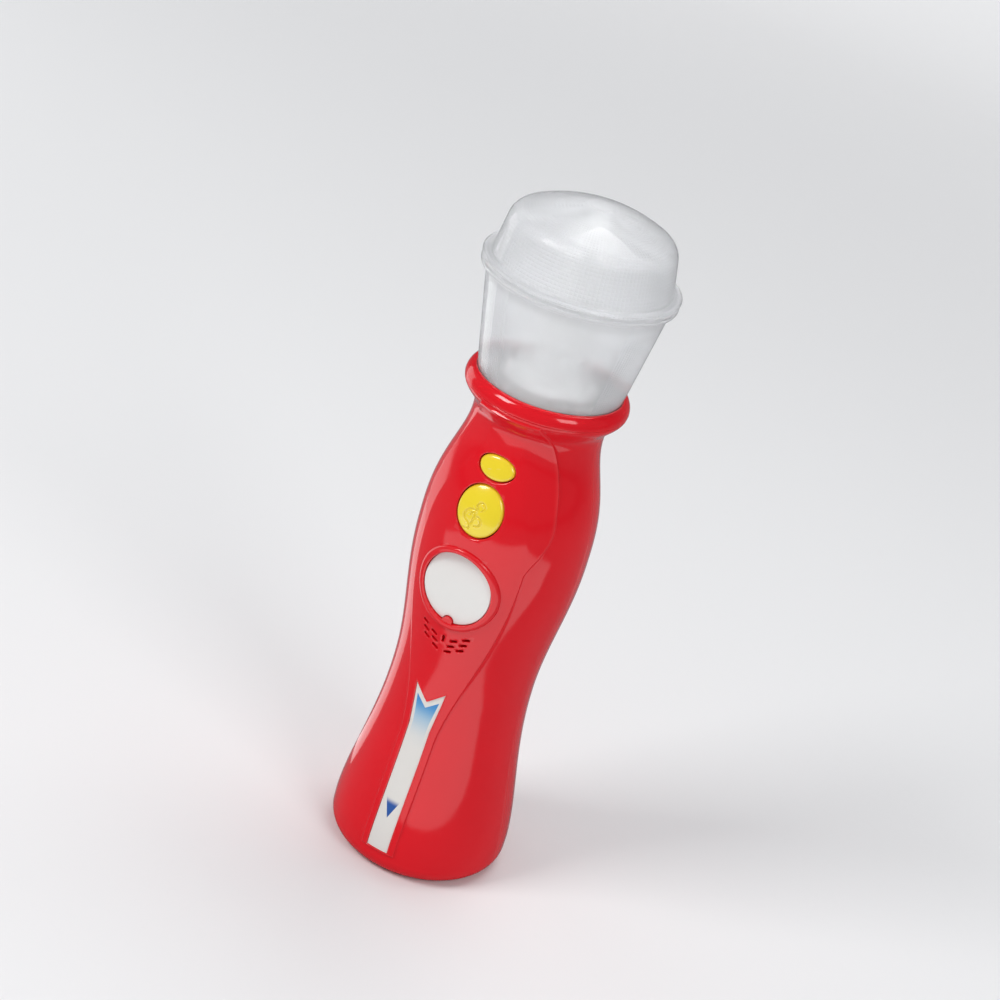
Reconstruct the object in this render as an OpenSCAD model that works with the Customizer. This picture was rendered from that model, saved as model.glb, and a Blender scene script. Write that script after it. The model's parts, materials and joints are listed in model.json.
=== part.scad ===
// Toy microphone: a hollow handle in two moulded halves, a frosted head with a
// light tower inside, two push buttons, a speaker and a battery bay with a door.
// It stands on its flat foot, +Z runs up through the head and the front faces -Y.

/* [Handle] */
// Widest radius of the foot
foot_r = 29.4; // [27.5:0.1:32]
// Height of the foot's widest point
foot_z = 9; // [8:0.5:12]
// Radius that rounds the foot into its flat underside
foot_edge_r = 6; // [4:0.5:7]
// Radius of the waist
waist_r = 22.9; // [22.4:0.1:25]
// Height of the waist
waist_z = 67; // [62:1:72]
// Radius of the bulge behind the round plate
bulge_r = 27.2; // [26:0.1:30]
// Height of the bulge
bulge_z = 115; // [110:1:120]
// Radius of the neck under the collar
neck_r = 20.4; // [19.6:0.1:21.5]
// Height of the neck
neck_z = 157.5; // [155:0.5:162]
// Thickness of both shells
shell_wall = 2.2; // [1.8:0.1:2.6]
// Height of the raised front panel above the shell
panel_rise = 0.5; // [0.3:0.1:1]
// Half-width of the front panel above the round plate
panel_half_w = 16.9; // [15.5:0.1:18]
// Half-width of the front panel beside the buttons
panel_side_half_w = 20.2; // [19:0.1:21]
// Half-width of the front panel's top edge
panel_top_half_w = 9.9; // [8:0.1:12]

/* [Collar] */
// Widest radius of the collar
collar_r = 25.5; // [24.8:0.1:27]
// Height of the collar above the handle's flare
collar_h = 4.2; // [3.6:0.1:6]
// Rise of the neck's flare below the collar
flare_h = 9.7; // [8:0.1:11]
// How far the flare widens the neck
flare_w = 5; // [4:0.1:5.5]

/* [Head] */
// Depth of the frosted cup, from the collar's rim to the band
cup_h = 33.6; // [30:0.2:40]
// Outer radius of the cup where it leaves the collar
cup_base_r = 22.65; // [22:0.05:23.2]
// Outer radius of the cup just under the band
cup_top_r = 28.1; // [27.5:0.1:29]
// How far the cup's flange stands out
cup_flange_w = 1.9; // [1.4:0.1:3]
// Thickness of the cup's flange
cup_flange_t = 1.5; // [1:0.1:2.5]
// Height of the groove between the two flanges
band_groove_h = 1; // [0.6:0.1:1.6]
// How far the dome's flange stands past the cup's
dome_flange_lap = 0.2; // [0:0.1:1]
// How far the dome's flange stands out from its wall
dome_flange_w = 2.8; // [2.4:0.1:4]
// Thickness of the dome's flange
dome_flange_t = 1.3; // [1:0.1:2]
// Inward lean of the dome's wall, in degrees
dome_lean = 9.7; // [6:0.1:12]
// Height of the dome's top above the cup's flange
dome_h = 22.8; // [21:0.2:26]
// Radius of the round between the dome's wall and crown
shoulder_r = 5.9; // [4:0.1:7]
// Radius of the flat crown's curve
crown_r = 48; // [42:1:60]
// Wall of the cup and the dome
head_wall = 1.6; // [1.2:0.1:2]
// Radius of the plain round spot on the crown
crown_spot_r = 4.4; // [3:0.1:6]

/* [Light tower] */
// Side of the square tower at its foot
tower_foot_w = 15.2; // [13:0.1:17]
// Side of the square tower at its top
tower_top_w = 11.7; // [10:0.1:13]
// Gap between the tower's top and the dome's crown
tower_top_gap = 5; // [3:0.5:10]
// Wall of the tower
tower_wall = 1.2; // [1:0.1:1.6]
// Turn of the tower about the head's axis, in degrees
tower_turn = 10; // [0:5:90]

/* [Buttons] */
// Half-width of the small button
small_half_w = 5.9; // [5:0.1:6.2]
// Half-height of the small button
small_half_h = 3.7; // [3.2:0.1:4]
// Height of the large button's centre
large_z = 134.1; // [133:0.1:135]
// Half-width of the large button
large_half_w = 7.4; // [6.5:0.1:7.8]
// Half-height of the large button
large_half_h = 8.3; // [7.5:0.1:8.4]
// How far the caps stand proud of the shell
button_rise = 1.1; // [0.8:0.1:1.6]
// Gap round each cap in its opening
button_gap = 0.3; // [0.25:0.05:0.5]
// Travel of each button
button_travel = 1.2; // [0.8:0.1:1.6]
// Width of the ears that keep a button in
button_lip = 1.2; // [0.8:0.1:1.3]
// Height of the shell between the two buttons
button_web = 1.8; // [1.7:0.1:2.4]

/* [Round plate] */
// Height of the round plate's centre
plate_z = 107; // [106:0.5:108]
// Half-width of the round plate
plate_half_w = 11.4; // [10.5:0.1:12]
// Half-height of the round plate
plate_half_h = 12.2; // [11:0.1:12.6]
// Thickness of the round plate
plate_t = 1; // [0.8:0.1:1.4]
// Width of the ring round the plate
ring_w = 2.7; // [2:0.1:3.2]
// Height of the ring above the shell
ring_rise = 1.2; // [0.8:0.1:1.5]
// Radius of the half-round notch in the plate's lower edge
plate_notch_r = 1.9; // [1.2:0.1:2.4]

/* [Speaker] */
// Height of the speaker's centre
speaker_z = 87.5; // [86:0.5:89]
// Radius of the speaker
speaker_r = 13.5; // [12:0.5:13.5]
// Length of one sound slot
slot_l = 2.6; // [2:0.1:3]
// Width of one sound slot
slot_w = 0.9; // [0.7:0.1:1.1]
// Rows of sound slots on each side
slot_rows = 3; // [2:1:3]
// Height between rows of sound slots
slot_pitch = 2.3; // [1.9:0.1:2.6]
// Slope of the sound slots, in degrees
slot_slope = 23; // [10:1:35]

/* [Ribbon label] */
// Half-width of the ribbon
ribbon_half_w = 3.7; // [3:0.1:4.2]
// Half-width of the ribbon's forked top
ribbon_tip_half_w = 5.2; // [4.4:0.1:5.4]
// Height of the ribbon's tips
ribbon_top_z = 68.6; // [66:0.2:70]
// Depth of the fork in the ribbon's top
ribbon_fork = 4.9; // [3:0.1:6]
// Height of the ribbon's lower end
ribbon_low_z = 9; // [9:0.5:16]
// Thickness of the ribbon label
ribbon_t = 0.25; // [0.2:0.05:0.4]

/* [Battery bay] */
// Radius of one battery
cell_r = 7.25; // [7:0.05:7.3]
// Length of one battery, with its stud
cell_l = 50.5; // [49:0.5:51]
// Gap round each battery in the bay
cell_gap = 0.35; // [0.2:0.05:0.4]
// Wall of the bay
bay_wall = 1.2; // [1:0.1:1.3]
// Height of the bay's lower end
bay_z = 14.5; // [13:0.5:16]
// Room for the contacts beyond the batteries' ends, both ends together
contact_room = 5; // [4:0.5:6]
// Thickness of the door
door_wall = 2; // [1.6:0.1:2.2]
// Gap round the door
door_gap = 0.3; // [0.2:0.05:0.4]

/* [Circuit board] */
// Half-width of the main board
board_half_w = 12; // [10.5:0.1:12.1]
// Thickness of the boards
board_t = 1.6; // [1:0.1:2]
// Depth of the main board's front face behind the handle's axis plane
board_y = 11.6; // [11:0.1:12.2]

/* [Fasteners] */
// Radius of the screws that hold the shells
screw_r = 1.3; // [1.1:0.1:1.5]
// Radius of their heads
screw_head_r = 2.6; // [2.3:0.1:2.8]
// Radius of the small screws that hold the main board
board_screw_r = 1; // [0.8:0.1:1.1]

/* [Hidden] */

$fn = 72;
// Cut-away tools reach past every surface by this much
far = 60;
// Bites that must break a surface go this far past it
bite = 0.01;

// Height steps of the handle's outline
outline_steps = 36;
// How early each stretch of the handle's outline starts to turn
foot_ease = 0.8;
bulge_ease = 1;
neck_ease = 1.5;

// Collar and spigot, from the bottom up
shoulder_z = neck_z + flare_h;
shoulder_out_r = neck_r + flare_w;
collar_z = shoulder_z;
collar_top_z = collar_z + collar_h;
collar_rim_w = 0.3;
flare_ease = 1.4;
spigot_step = 4.4;
spigot_h = 1.2;
spigot_r = shoulder_out_r - spigot_step;
spigot_top_z = collar_z + spigot_h;
fit_gap = 0.15;
cup_floor_z = spigot_top_z;
cup_floor_t = 1.8;

// Head, from the collar's rim up
cup_flange_r = cup_top_r + cup_flange_w;
dome_flange_r = cup_flange_r + dome_flange_lap;
dome_wall_r = dome_flange_r - dome_flange_w;
band_z = collar_top_z + cup_h;
cup_rim_z = band_z + band_groove_h;
cup_rim_step = 0.7;
cup_rim_r = cup_flange_r - cup_rim_step;
flange_top_z = cup_rim_z + dome_flange_t;
crown_z = band_z + dome_h;
cup_taper = (cup_top_r - cup_base_r) / (cup_h - cup_flange_t);
cup_low_r = cup_base_r - cup_taper * (collar_top_z - cup_floor_z);
tongue_drop = 4.5;
tongue_t = 1;
tongue_low_z = band_z - cup_flange_t - tongue_drop + 1;
crown_spot_rise = 0.4;

// Neck of the cup, held in a groove inside the shells
socket_gap = 0.4;
socket_wall = 1.8;
socket_rise = 1.5;
socket_flange_t = 1.6;
socket_flange_w = 1.2;
socket_r = neck_r - shell_wall - socket_gap;
socket_z = neck_z + socket_rise;
socket_flange_r = socket_r + socket_flange_w;
socket_bore_r = socket_r - socket_wall;

// Lights under the tower
light_hole_r = tower_foot_w / 2 - tower_wall;
tower_base_r = tower_foot_w * 0.85;
tower_base_t = 1.4;
led_board_z = cup_floor_z - board_t;
led_r = 1.5;
led_collar_w = 0.4;
led_collar_h = 0.8;
led_h = 4;
led_gap = 0.5;
led_ring_r = light_hole_r - led_r - led_collar_w - led_gap;

// Floors, posts and wells
floor_t = 2.4;
post_wall = 1.9;
post_r = screw_r + post_wall;
well_gap = 0.5;
well_r = screw_head_r + well_gap;
well_wall = 1.1;
well_clear = 0.4;
head_t = 2;
screw_gap = 0.3;
pilot_gap = 0.05;
screw_seat_y = 5;
screw_reach = 9;
// Heights of the screws above the foot, and below the bulge and the neck
low_screw_rise = 13;
mid_screw_drop = 12.5;
top_screw_drop = 17;
screw_heights = [foot_z + low_screw_rise, bulge_z - mid_screw_drop, neck_z - top_screw_drop];
screw_places = [for (z = screw_heights)
    [handle_r(z) - shell_wall - well_r - well_wall - well_clear, z]];

// Speaker, from its front face back
speaker_y = 17;
speaker_rim_t = 1.5;
speaker_rim_w = 1.4;
speaker_lip_w = 2;
basket_h = 4.5;
basket_wall = 0.8;
magnet_r = speaker_r * 0.6;
magnet_t = 4;
dust_cap_r = 3;
cone_t = 0.6;
speaker_seat_wall = 1.2;
// Each column of sound slots: its distance from the middle, and its top above the speaker's centre
slot_columns = [[7.15, 3.5], [3.45, 1.5]];
slot_drift = 0.62;
slot_centre_rise = 1;

// Main board, from its front face back
board_back_y = board_y - board_t;
keypad_t = 1;
keypad_front_y = board_y + keypad_t;
key_h = 3.4;
key_top_y = keypad_front_y + key_h;
keypad_half_w = 6.4;
keypad_margin = 0.7;
large_key_r = [4.5, 2.6];
small_key_r = [3.4, 2.2];
key_gap = 0.3;
stem_y = key_top_y + key_gap;
board_low_z = speaker_z + speaker_r + fit_gap + speaker_seat_wall + 2.15;
board_top_z = neck_z - 1;
board_post_r = board_screw_r + 1;
board_head_r = board_screw_r + 0.9;
board_head_t = 1.2;
board_screw_reach = 4;
board_screw_x = board_half_w - 2.6;
board_screw_places = [[board_screw_x, board_low_z + 15.5], [board_screw_x, board_top_z - 3.5]];
capacitor_z = board_low_z + 22;
capacitor_x = 5.5;
capacitor_r = 2.5;
capacitor_h = 7;
chip_z = large_z + 7;
chip_half_w = 5;
chip_h = 1.8;
chip_round_r = (pow(chip_half_w, 2) + pow(chip_h, 2)) / (2 * chip_h);
chip_drop = chip_round_r - chip_h;
chip_angle = atan2(chip_drop, chip_half_w);

// Buttons: where each pair of ears stops against its guide
lip_t = 1.2;
guide_wall = 1;
small_z = large_z + large_half_h + small_half_h + button_web;
ear_half_drop = 0.5;
stem_r = 2;
small_stem_l = button_travel + 0.8;
large_stem_l = button_travel + 1.8;
small_stop_y = stem_y + small_stem_l;
large_stop_y = stem_y + large_stem_l;
cap_crown = 2.6;

// Front panel
panel_foot_z = 50;
panel_wide_z = bulge_z + 3;
panel_side_rise = 20;
panel_side_z = panel_wide_z + panel_side_rise;
panel_top_drop = 1.2;
panel_top_z = collar_z - panel_top_drop;
panel_margin = 1.7;
panel_foot_half_w = ribbon_half_w + panel_margin;
panel_drop = 1;
ribbon_spread_h = 14.5;
// Shallow cuts in the front reach out this far
outward = 3;

// Plate and ring
plate_sink = 0.2;
recess_gap = 0.2;
plate_back_wall = 1.8;
ring_low_share = 0.8;
plate_face_y = sqrt(pow(handle_r(plate_z) + ring_rise, 2) - pow(plate_half_w, 2)) - plate_sink;
plate_seat_y = plate_face_y - plate_t;

// Batteries and bay
cell_x = cell_r + cell_gap / 2 + 0.15;
cell_y = 10;
bay_half_w = cell_x + cell_r + cell_gap + bay_wall;
bay_inner_l = cell_l + contact_room;
bay_top_z = bay_z + 2 * bay_wall + bay_inner_l;
contact_low_z = bay_z + bay_wall;
contact_high_z = bay_top_z - bay_wall;
bay_floor_y = cell_y - cell_r - cell_gap - bay_wall;
bay_rim_y = cell_y + cell_r + 0.9;
flat_room = 1;
spring_room = contact_room - flat_room;
contact_t = 0.4;
contact_half_w = 5;
spring_r = 3.6;
spring_wall = 0.9;
spring_taper = 1;
stud_l = 1.2;
stud_r = 2.7;

// Door
door_half_w = bay_half_w - bay_wall + 0.2;
door_ear_half_w = 7;
door_ear_h = 6.5;
door_low_z = bay_z - door_ear_h;
door_high_z = bay_top_z + door_ear_h;
door_boss_step = 2.2;
door_screw_z = [bay_z - door_boss_step, bay_top_z + door_boss_step];
door_screw_head_t = 1.6;
door_screw_head_sink = 0.3;
door_screw_l = 8;
door_boss_wall = 1.7;
door_boss_r = screw_r + door_boss_wall;
door_lining = 0.4;

// Wires: where they leave, bend and arrive
wire_r = 0.6;
bend_r = 0.7;
wire_half_gap = 3;
led_wire_y = 2;
led_wire_drop = 6;
led_wire_bend_y = 4;
led_wire_inset = 3;
speaker_wire_tail = 3;
speaker_wire_inset = 5;
battery_wire_half_gap = 9;
battery_wire_rise = 8;
battery_wire_inset = 4;

RED = [0.84, 0.10, 0.15];
FROST = [0.93, 0.95, 0.97, 0.6];
WHITE = [0.92, 0.92, 0.90];
YELLOW = [0.96, 0.86, 0.14];
BOARD = [0.10, 0.42, 0.22];
DARK = [0.12, 0.12, 0.13];
STEEL = [0.72, 0.73, 0.75];
RUBBER = [0.30, 0.31, 0.33];

// ---- Outline of the handle -------------------------------------------------

function ease(t) = (1 - cos(180 * t)) / 2;
function turn(a, b, t, power) = a + (b - a) * ease(pow(t, power));
function share(z, low, high) = (z - low) / (high - low);

// Outer radius of the handle at a height above the foot's round
function handle_r(z) =
    z <= foot_z ? foot_r
    : z <= waist_z ? turn(foot_r, waist_r, share(z, foot_z, waist_z), foot_ease)
    : z <= bulge_z ? turn(waist_r, bulge_r, share(z, waist_z, bulge_z), bulge_ease)
    : turn(bulge_r, neck_r, min(1, share(z, bulge_z, neck_z)), neck_ease);

function arc(cx, cz, r, from, to, steps) =
    [for (i = [0:steps]) let (a = from + (to - from) * i / steps) [cx + r * cos(a), cz + r * sin(a)]];

function flare(grow) =
    [for (i = [1:10])
        [turn(neck_r, shoulder_out_r, i / 10, flare_ease) + grow, neck_z + flare_h * i / 10]];

// Solid of revolution that follows the handle, grown by a distance all round
module handle_solid(grow = 0) {
    edge = foot_edge_r + grow;
    rotate_extrude()
        polygon(concat(
            [[0, -grow]],
            arc(foot_r - foot_edge_r, foot_edge_r, edge, -90, 0, 6),
            [for (i = [0:outline_steps])
                let (z = foot_z + (neck_z - foot_z) * i / outline_steps) [handle_r(z) + grow, z]],
            flare(grow),
            [[shoulder_out_r + grow, shoulder_z + bite], [0, shoulder_z + bite]]));
}

// Thin skin between two distances from the handle's surface
module skin(low, high) {
    difference() {
        handle_solid(high);
        handle_solid(low);
    }
}

// Space inside the shells
module cavity() {
    intersection() {
        handle_solid(-shell_wall);
        translate([0, 0, floor_t]) cylinder(r = far, h = neck_z - floor_t);
    }
    translate([0, 0, neck_z - bite]) cylinder(r = neck_r - shell_wall, h = far);
}

module ellipse(half_w, half_h) {
    polygon([for (i = [0:$fn - 1]) let (a = 360 * i / $fn) [half_w * cos(a), half_h * sin(a)]]);
}

// Turns an outline drawn in X and Z into a prism that runs from the axis plane to the front
module to_front(from = 0, to = far) {
    rotate([90, 0, 0]) translate([0, 0, from]) linear_extrude(to - from) children();
}

module to_back(from = 0, to = far) {
    mirror([0, 1, 0]) to_front(from, to) children();
}

// Cylinder along Y: from and to count towards the front
module front_rod(x, z, r, from, to) {
    translate([x, -from, z]) rotate([90, 0, 0]) cylinder(r = r, h = to - from);
}

module back_rod(x, z, r, from, to) {
    mirror([0, 1, 0]) front_rod(x, z, r, from, to);
}

module both_sides() {
    children();
    mirror([1, 0, 0]) children();
}

// ---- Outlines on the front -------------------------------------------------

// Half-width of the raised front panel at a height
function panel_edge(z) =
    z > panel_side_z
        ? panel_side_half_w
            - (panel_side_half_w - panel_top_half_w) * pow(share(z, panel_side_z, panel_top_z), 1.5)
    : z > panel_wide_z
        ? turn(panel_half_w, panel_side_half_w, share(z, panel_wide_z, panel_side_z), 1)
    : z > panel_foot_z
        ? turn(panel_foot_half_w, panel_half_w, share(z, panel_foot_z, panel_wide_z), 0.85)
    : panel_foot_half_w;

module panel_outline() {
    low_z = ribbon_low_z - panel_drop;
    heights = [for (i = [0:28]) low_z + (panel_top_z - low_z) * i / 28];
    polygon(concat(
        [for (z = heights) [panel_edge(z), z]],
        reversed([for (z = heights) [-panel_edge(z), z]])));
}

module ribbon_outline(gap = 0) {
    neck = ribbon_top_z - ribbon_spread_h;
    polygon([
        [-ribbon_half_w - gap, ribbon_low_z - gap], [ribbon_half_w + gap, ribbon_low_z - gap],
        [ribbon_half_w + gap, neck], [ribbon_tip_half_w + gap, ribbon_top_z + gap],
        [0, ribbon_top_z - ribbon_fork + gap],
        [-ribbon_tip_half_w - gap, ribbon_top_z + gap], [-ribbon_half_w - gap, neck]]);
}

module plate_outline(gap = 0) {
    difference() {
        translate([0, plate_z]) ellipse(plate_half_w + gap, plate_half_h + gap);
        translate([0, plate_z - plate_half_h]) circle(plate_notch_r - gap);
    }
}

module ring_outline() {
    translate([0, plate_z]) ellipse(plate_half_w + ring_w, plate_half_h + ring_low_share * ring_w);
}

module slot_outline() {
    square([slot_l - slot_w, slot_w], center = true);
    for (side = [-1, 1]) translate([side * (slot_l - slot_w) / 2, 0]) circle(slot_w / 2, $fn = 24);
}

module sound_slots() {
    for (side = [-1, 1], column = slot_columns, row = [0:slot_rows - 1])
        translate([side * (column[0] - slot_drift * row), speaker_z + column[1] - slot_pitch * row])
            rotate(side * slot_slope) slot_outline();
    translate([0, speaker_z + slot_centre_rise]) rotate(90) slot_outline();
}

module button_outline(z, half_w, half_h, gap = 0) {
    translate([0, z]) ellipse(half_w + gap, half_h + gap);
}

// Guide tube that a button's cap slides in, from the wall to its stop
module button_guide(z, half_w, half_h, stop_y) {
    to_front(stop_y) button_outline(z, half_w, half_h, button_gap + guide_wall);
}

// ---- Shells ----------------------------------------------------------------

module half_shell() {
    intersection() {
        union() {
            difference() {
                handle_solid();
                cavity();
            }
            translate([0, 0, shoulder_z])
                difference() {
                    cylinder(r = spigot_r, h = spigot_top_z - shoulder_z);
                    translate([0, 0, -bite]) cylinder(r = neck_r - shell_wall, h = far);
                }
        }
        translate([-far, -far, -far]) cube([2 * far, far, 6 * far]);
    }
}

// Groove inside the neck that holds the flange of the cup's socket
module socket_groove() {
    translate([0, 0, socket_z - fit_gap])
        cylinder(r = socket_flange_r + fit_gap, h = socket_flange_t + 2 * fit_gap);
}

module front_posts() {
    both_sides() {
        for (p = screw_places) front_rod(p[0], p[1], post_r, 0, far);
        for (p = board_screw_places) front_rod(p[0], p[1], board_post_r, board_y, far);
    }
    button_guide(small_z, small_half_w, small_half_h, small_stop_y);
    button_guide(large_z, large_half_w, large_half_h, large_stop_y);
    front_rod(0, speaker_z, speaker_r + fit_gap + speaker_seat_wall, speaker_y - speaker_rim_t, far);
    to_front(plate_seat_y - plate_back_wall) ring_outline();
}

module front_openings() {
    to_front(large_stop_y - bite) button_outline(large_z, large_half_w, large_half_h, button_gap);
    to_front(small_stop_y - bite) button_outline(small_z, small_half_w, small_half_h, button_gap);
    to_front(speaker_y + 1) sound_slots();
    front_rod(0, speaker_z, speaker_r + fit_gap, 0, speaker_y);
    front_rod(0, speaker_z, speaker_r - speaker_lip_w, 0, speaker_y + outward);
    both_sides() {
        for (p = screw_places) front_rod(p[0], p[1], screw_r + pilot_gap, -bite, screw_reach + 1);
        for (p = board_screw_places)
            front_rod(p[0], p[1], board_screw_r + pilot_gap, 0, board_y + board_screw_reach + 0.5);
    }
}

module front_shell() {
    color(RED)
        difference() {
            union() {
                half_shell();
                intersection() {
                    skin(-bite, panel_rise);
                    to_front() panel_outline();
                }
                intersection() {
                    skin(-bite, ring_rise);
                    to_front() ring_outline();
                }
                intersection() {
                    front_posts();
                    handle_solid(-shell_wall / 2);
                }
            }
            front_openings();
            socket_groove();
            to_front(plate_seat_y) plate_outline(recess_gap);
            intersection() {
                skin(panel_rise - 2 * ribbon_t, outward);
                to_front() ribbon_outline(recess_gap / 2);
            }
        }
}

// Opening for the door: the bay's width with an ear at each end for a screw
module door_outline(gap = 0) {
    translate([-door_half_w - gap, bay_z - gap])
        square([2 * (door_half_w + gap), bay_top_z - bay_z + 2 * gap]);
    translate([-door_ear_half_w - gap, door_low_z - gap])
        square([2 * (door_ear_half_w + gap), door_high_z - door_low_z + 2 * gap]);
}

module back_shell() {
    color(RED)
        difference() {
            union() {
                mirror([0, 1, 0]) half_shell();
                intersection() {
                    both_sides() for (p = screw_places) back_rod(p[0], p[1], well_r + well_wall, 0, far);
                    handle_solid(-shell_wall / 2);
                }
            }
            socket_groove();
            to_back(cell_y) door_outline(door_gap);
            both_sides() for (p = screw_places) {
                back_rod(p[0], p[1], well_r, screw_seat_y, far);
                back_rod(p[0], p[1], screw_r + screw_gap, -bite, far);
            }
        }
}

module collar_ring() {
    lip_r = cup_base_r + fit_gap;
    rim_r = lip_r + collar_rim_w;
    color(RED)
        rotate_extrude()
            polygon(concat(
                [[spigot_r + fit_gap, collar_z + bite]],
                [for (i = [0:10]) let (a = 90 * i / 10)
                    [rim_r + (collar_r - rim_r) * cos(a), collar_z + bite + (collar_h - bite) * sin(a)]],
                [[lip_r, collar_top_z - collar_rim_w],
                 [cup_low_r + fit_gap, cup_floor_z],
                 [spigot_r + fit_gap, cup_floor_z]]));
}

// ---- Head ------------------------------------------------------------------

module head_cup() {
    wall_top_z = band_z - cup_flange_t;
    floor_top_z = cup_floor_z + cup_floor_t;
    color(FROST)
        rotate_extrude()
            polygon([
                [light_hole_r, cup_floor_z], [socket_bore_r, cup_floor_z],
                [socket_bore_r, socket_z], [socket_flange_r, socket_z],
                [socket_flange_r, socket_z + socket_flange_t], [socket_r, socket_z + socket_flange_t],
                [socket_r, cup_floor_z], [cup_low_r, cup_floor_z],
                [cup_top_r, wall_top_z], [cup_flange_r, wall_top_z],
                [cup_flange_r, band_z], [cup_rim_r, band_z], [cup_rim_r, cup_rim_z],
                [cup_top_r - head_wall, cup_rim_z], [cup_top_r - head_wall, wall_top_z - tongue_drop],
                [cup_low_r - head_wall, floor_top_z], [light_hole_r, floor_top_z]]);
}

// Centre of the round that blends the dome's leaning wall into its crown
lean_slope = tan(dome_lean);
wall_reach = (dome_wall_r - shoulder_r / cos(dome_lean)) + lean_slope * flange_top_z;
crown_centre_z = crown_z - crown_r;
blend_b = wall_reach * lean_slope + crown_centre_z;
blend_c = pow(wall_reach, 2) + pow(crown_centre_z, 2) - pow(crown_r - shoulder_r, 2);
blend_a = 1 + pow(lean_slope, 2);
blend_z = (blend_b + sqrt(pow(blend_b, 2) - blend_a * blend_c)) / blend_a;
blend_r = wall_reach - lean_slope * blend_z;
crown_angle = atan2(blend_z - crown_centre_z, blend_r);

// Wall, round and crown of the dome, moved inwards by a distance
function dome_line(inset) = concat(
    [[dome_wall_r - inset / cos(dome_lean), flange_top_z]],
    arc(blend_r, blend_z, shoulder_r - inset, dome_lean, crown_angle, 8),
    [for (i = [1:12]) let (a = crown_angle + (90 - crown_angle) * i / 12)
        [max(0, (crown_r - inset) * cos(a)), crown_centre_z + (crown_r - inset) * sin(a)]]);

function reversed(list) = [for (i = [len(list) - 1:-1:0]) list[i]];

module head_dome() {
    tongue_r = cup_top_r - head_wall - fit_gap;
    inner = dome_line(head_wall);
    edge_r = dome_flange_t / 2;
    color(FROST) {
        rotate_extrude()
            polygon(concat(
                [[tongue_r - tongue_t, tongue_low_z], [tongue_r, tongue_low_z],
                 [tongue_r, cup_rim_z], [dome_flange_r - edge_r, cup_rim_z]],
                arc(dome_flange_r - edge_r, cup_rim_z + edge_r, edge_r, -75, 90, 10),
                dome_line(0),
                reversed(inner),
                [[tongue_r - tongue_t, cup_rim_z]]));
        intersection() {
            translate([0, 0, crown_z - head_wall / 2]) cylinder(r = crown_spot_r, h = outward);
            translate([0, 0, crown_centre_z])
                difference() {
                    sphere(crown_r + crown_spot_rise, $fn = 144);
                    sphere(crown_r - head_wall / 2, $fn = 144);
                }
        }
    }
}

// Hollow square tower: its corners lie on two circles
module tower_body(inset, low_z, high_z) {
    translate([0, 0, low_z])
        cylinder(r1 = tower_foot_w / sqrt(2) - inset, r2 = tower_top_w / sqrt(2) - inset,
            h = high_z - low_z, $fn = 4);
}

module light_tower() {
    low_z = cup_floor_z + cup_floor_t;
    top_z = crown_z - head_wall - tower_top_gap;
    color(WHITE)
        rotate(tower_turn)
            difference() {
                union() {
                    tower_body(0, low_z, top_z);
                    translate([0, 0, low_z]) cylinder(r = tower_base_r, h = tower_base_t);
                }
                tower_body(tower_wall * sqrt(2), low_z - bite, top_z - tower_wall);
            }
}

// ---- Lights ----------------------------------------------------------------

module led_board() {
    color(BOARD)
        translate([0, 0, led_board_z]) cylinder(r = socket_bore_r - fit_gap, h = board_t);
}

module leds() {
    color([0.9, 0.9, 0.85])
        for (a = [90, 210, 330])
            rotate(a) translate([led_ring_r, 0, cup_floor_z]) {
                cylinder(r = led_r, h = led_h, $fn = 32);
                cylinder(r = led_r + led_collar_w, h = led_collar_h, $fn = 32);
                translate([0, 0, led_h]) sphere(led_r, $fn = 32);
            }
}

// ---- Buttons ---------------------------------------------------------------

// Cap with a crowned face, ears behind the guide and a stem that presses the keypad
module button(z, half_w, half_h, stop_y) {
    face_y = handle_r(z) + button_rise;
    slope = atan((handle_r(z - 2) - handle_r(z + 2)) / 4);
    crown = cap_crown * max(half_w, half_h);
    color(YELLOW) {
        intersection() {
            to_front(stop_y - bite) button_outline(z, half_w, half_h);
            translate([0, -face_y + crown * cos(slope), z - crown * sin(slope)])
                sphere(crown, $fn = 144);
        }
        to_front(stop_y - lip_t, stop_y)
            button_outline(z, half_w + button_lip, half_h - ear_half_drop);
        front_rod(0, z, stem_r, stem_y, stop_y - lip_t + bite);
    }
}

module small_button() {
    button(small_z, small_half_w, small_half_h, small_stop_y - key_gap);
}

module large_button() {
    button(large_z, large_half_w, large_half_h, large_stop_y - key_gap);
}

module key_dome(z, radii) {
    translate([0, -keypad_front_y + bite, z]) rotate([90, 0, 0])
        cylinder(r1 = radii[0], r2 = radii[1], h = key_h + bite);
}

module rubber_keypad() {
    low_z = large_z - large_half_h - keypad_margin;
    high_z = small_z + small_half_h + keypad_margin;
    color(RUBBER) {
        to_front(board_y, keypad_front_y)
            translate([-keypad_half_w, low_z]) square([2 * keypad_half_w, high_z - low_z]);
        key_dome(large_z, large_key_r);
        key_dome(small_z, small_key_r);
    }
}

// ---- Board -----------------------------------------------------------------

module main_board() {
    color(BOARD)
        difference() {
            to_front(board_back_y, board_y)
                translate([-board_half_w, board_low_z])
                    square([2 * board_half_w, board_top_z - board_low_z]);
            both_sides() for (p = board_screw_places)
                front_rod(p[0], p[1], board_screw_r + screw_gap, 0, board_y + 1);
        }
}

module chip_cap() {
    color(DARK)
        translate([0, -board_back_y, chip_z]) rotate([-90, 0, 0])
            rotate_extrude() polygon(concat([[0, 0]], arc(0, -chip_drop, chip_round_r, chip_angle, 90, 8)));
}

module capacitor() {
    color(DARK)
        back_rod(-capacitor_x, capacitor_z, capacitor_r, -board_back_y, -board_back_y + capacitor_h);
}

module board_screws() {
    color(STEEL)
        both_sides() for (p = board_screw_places) {
            front_rod(p[0], p[1], board_screw_r, board_back_y - bite, board_y + board_screw_reach);
            front_rod(p[0], p[1], board_head_r, board_back_y - board_head_t, board_back_y);
        }
}

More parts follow.
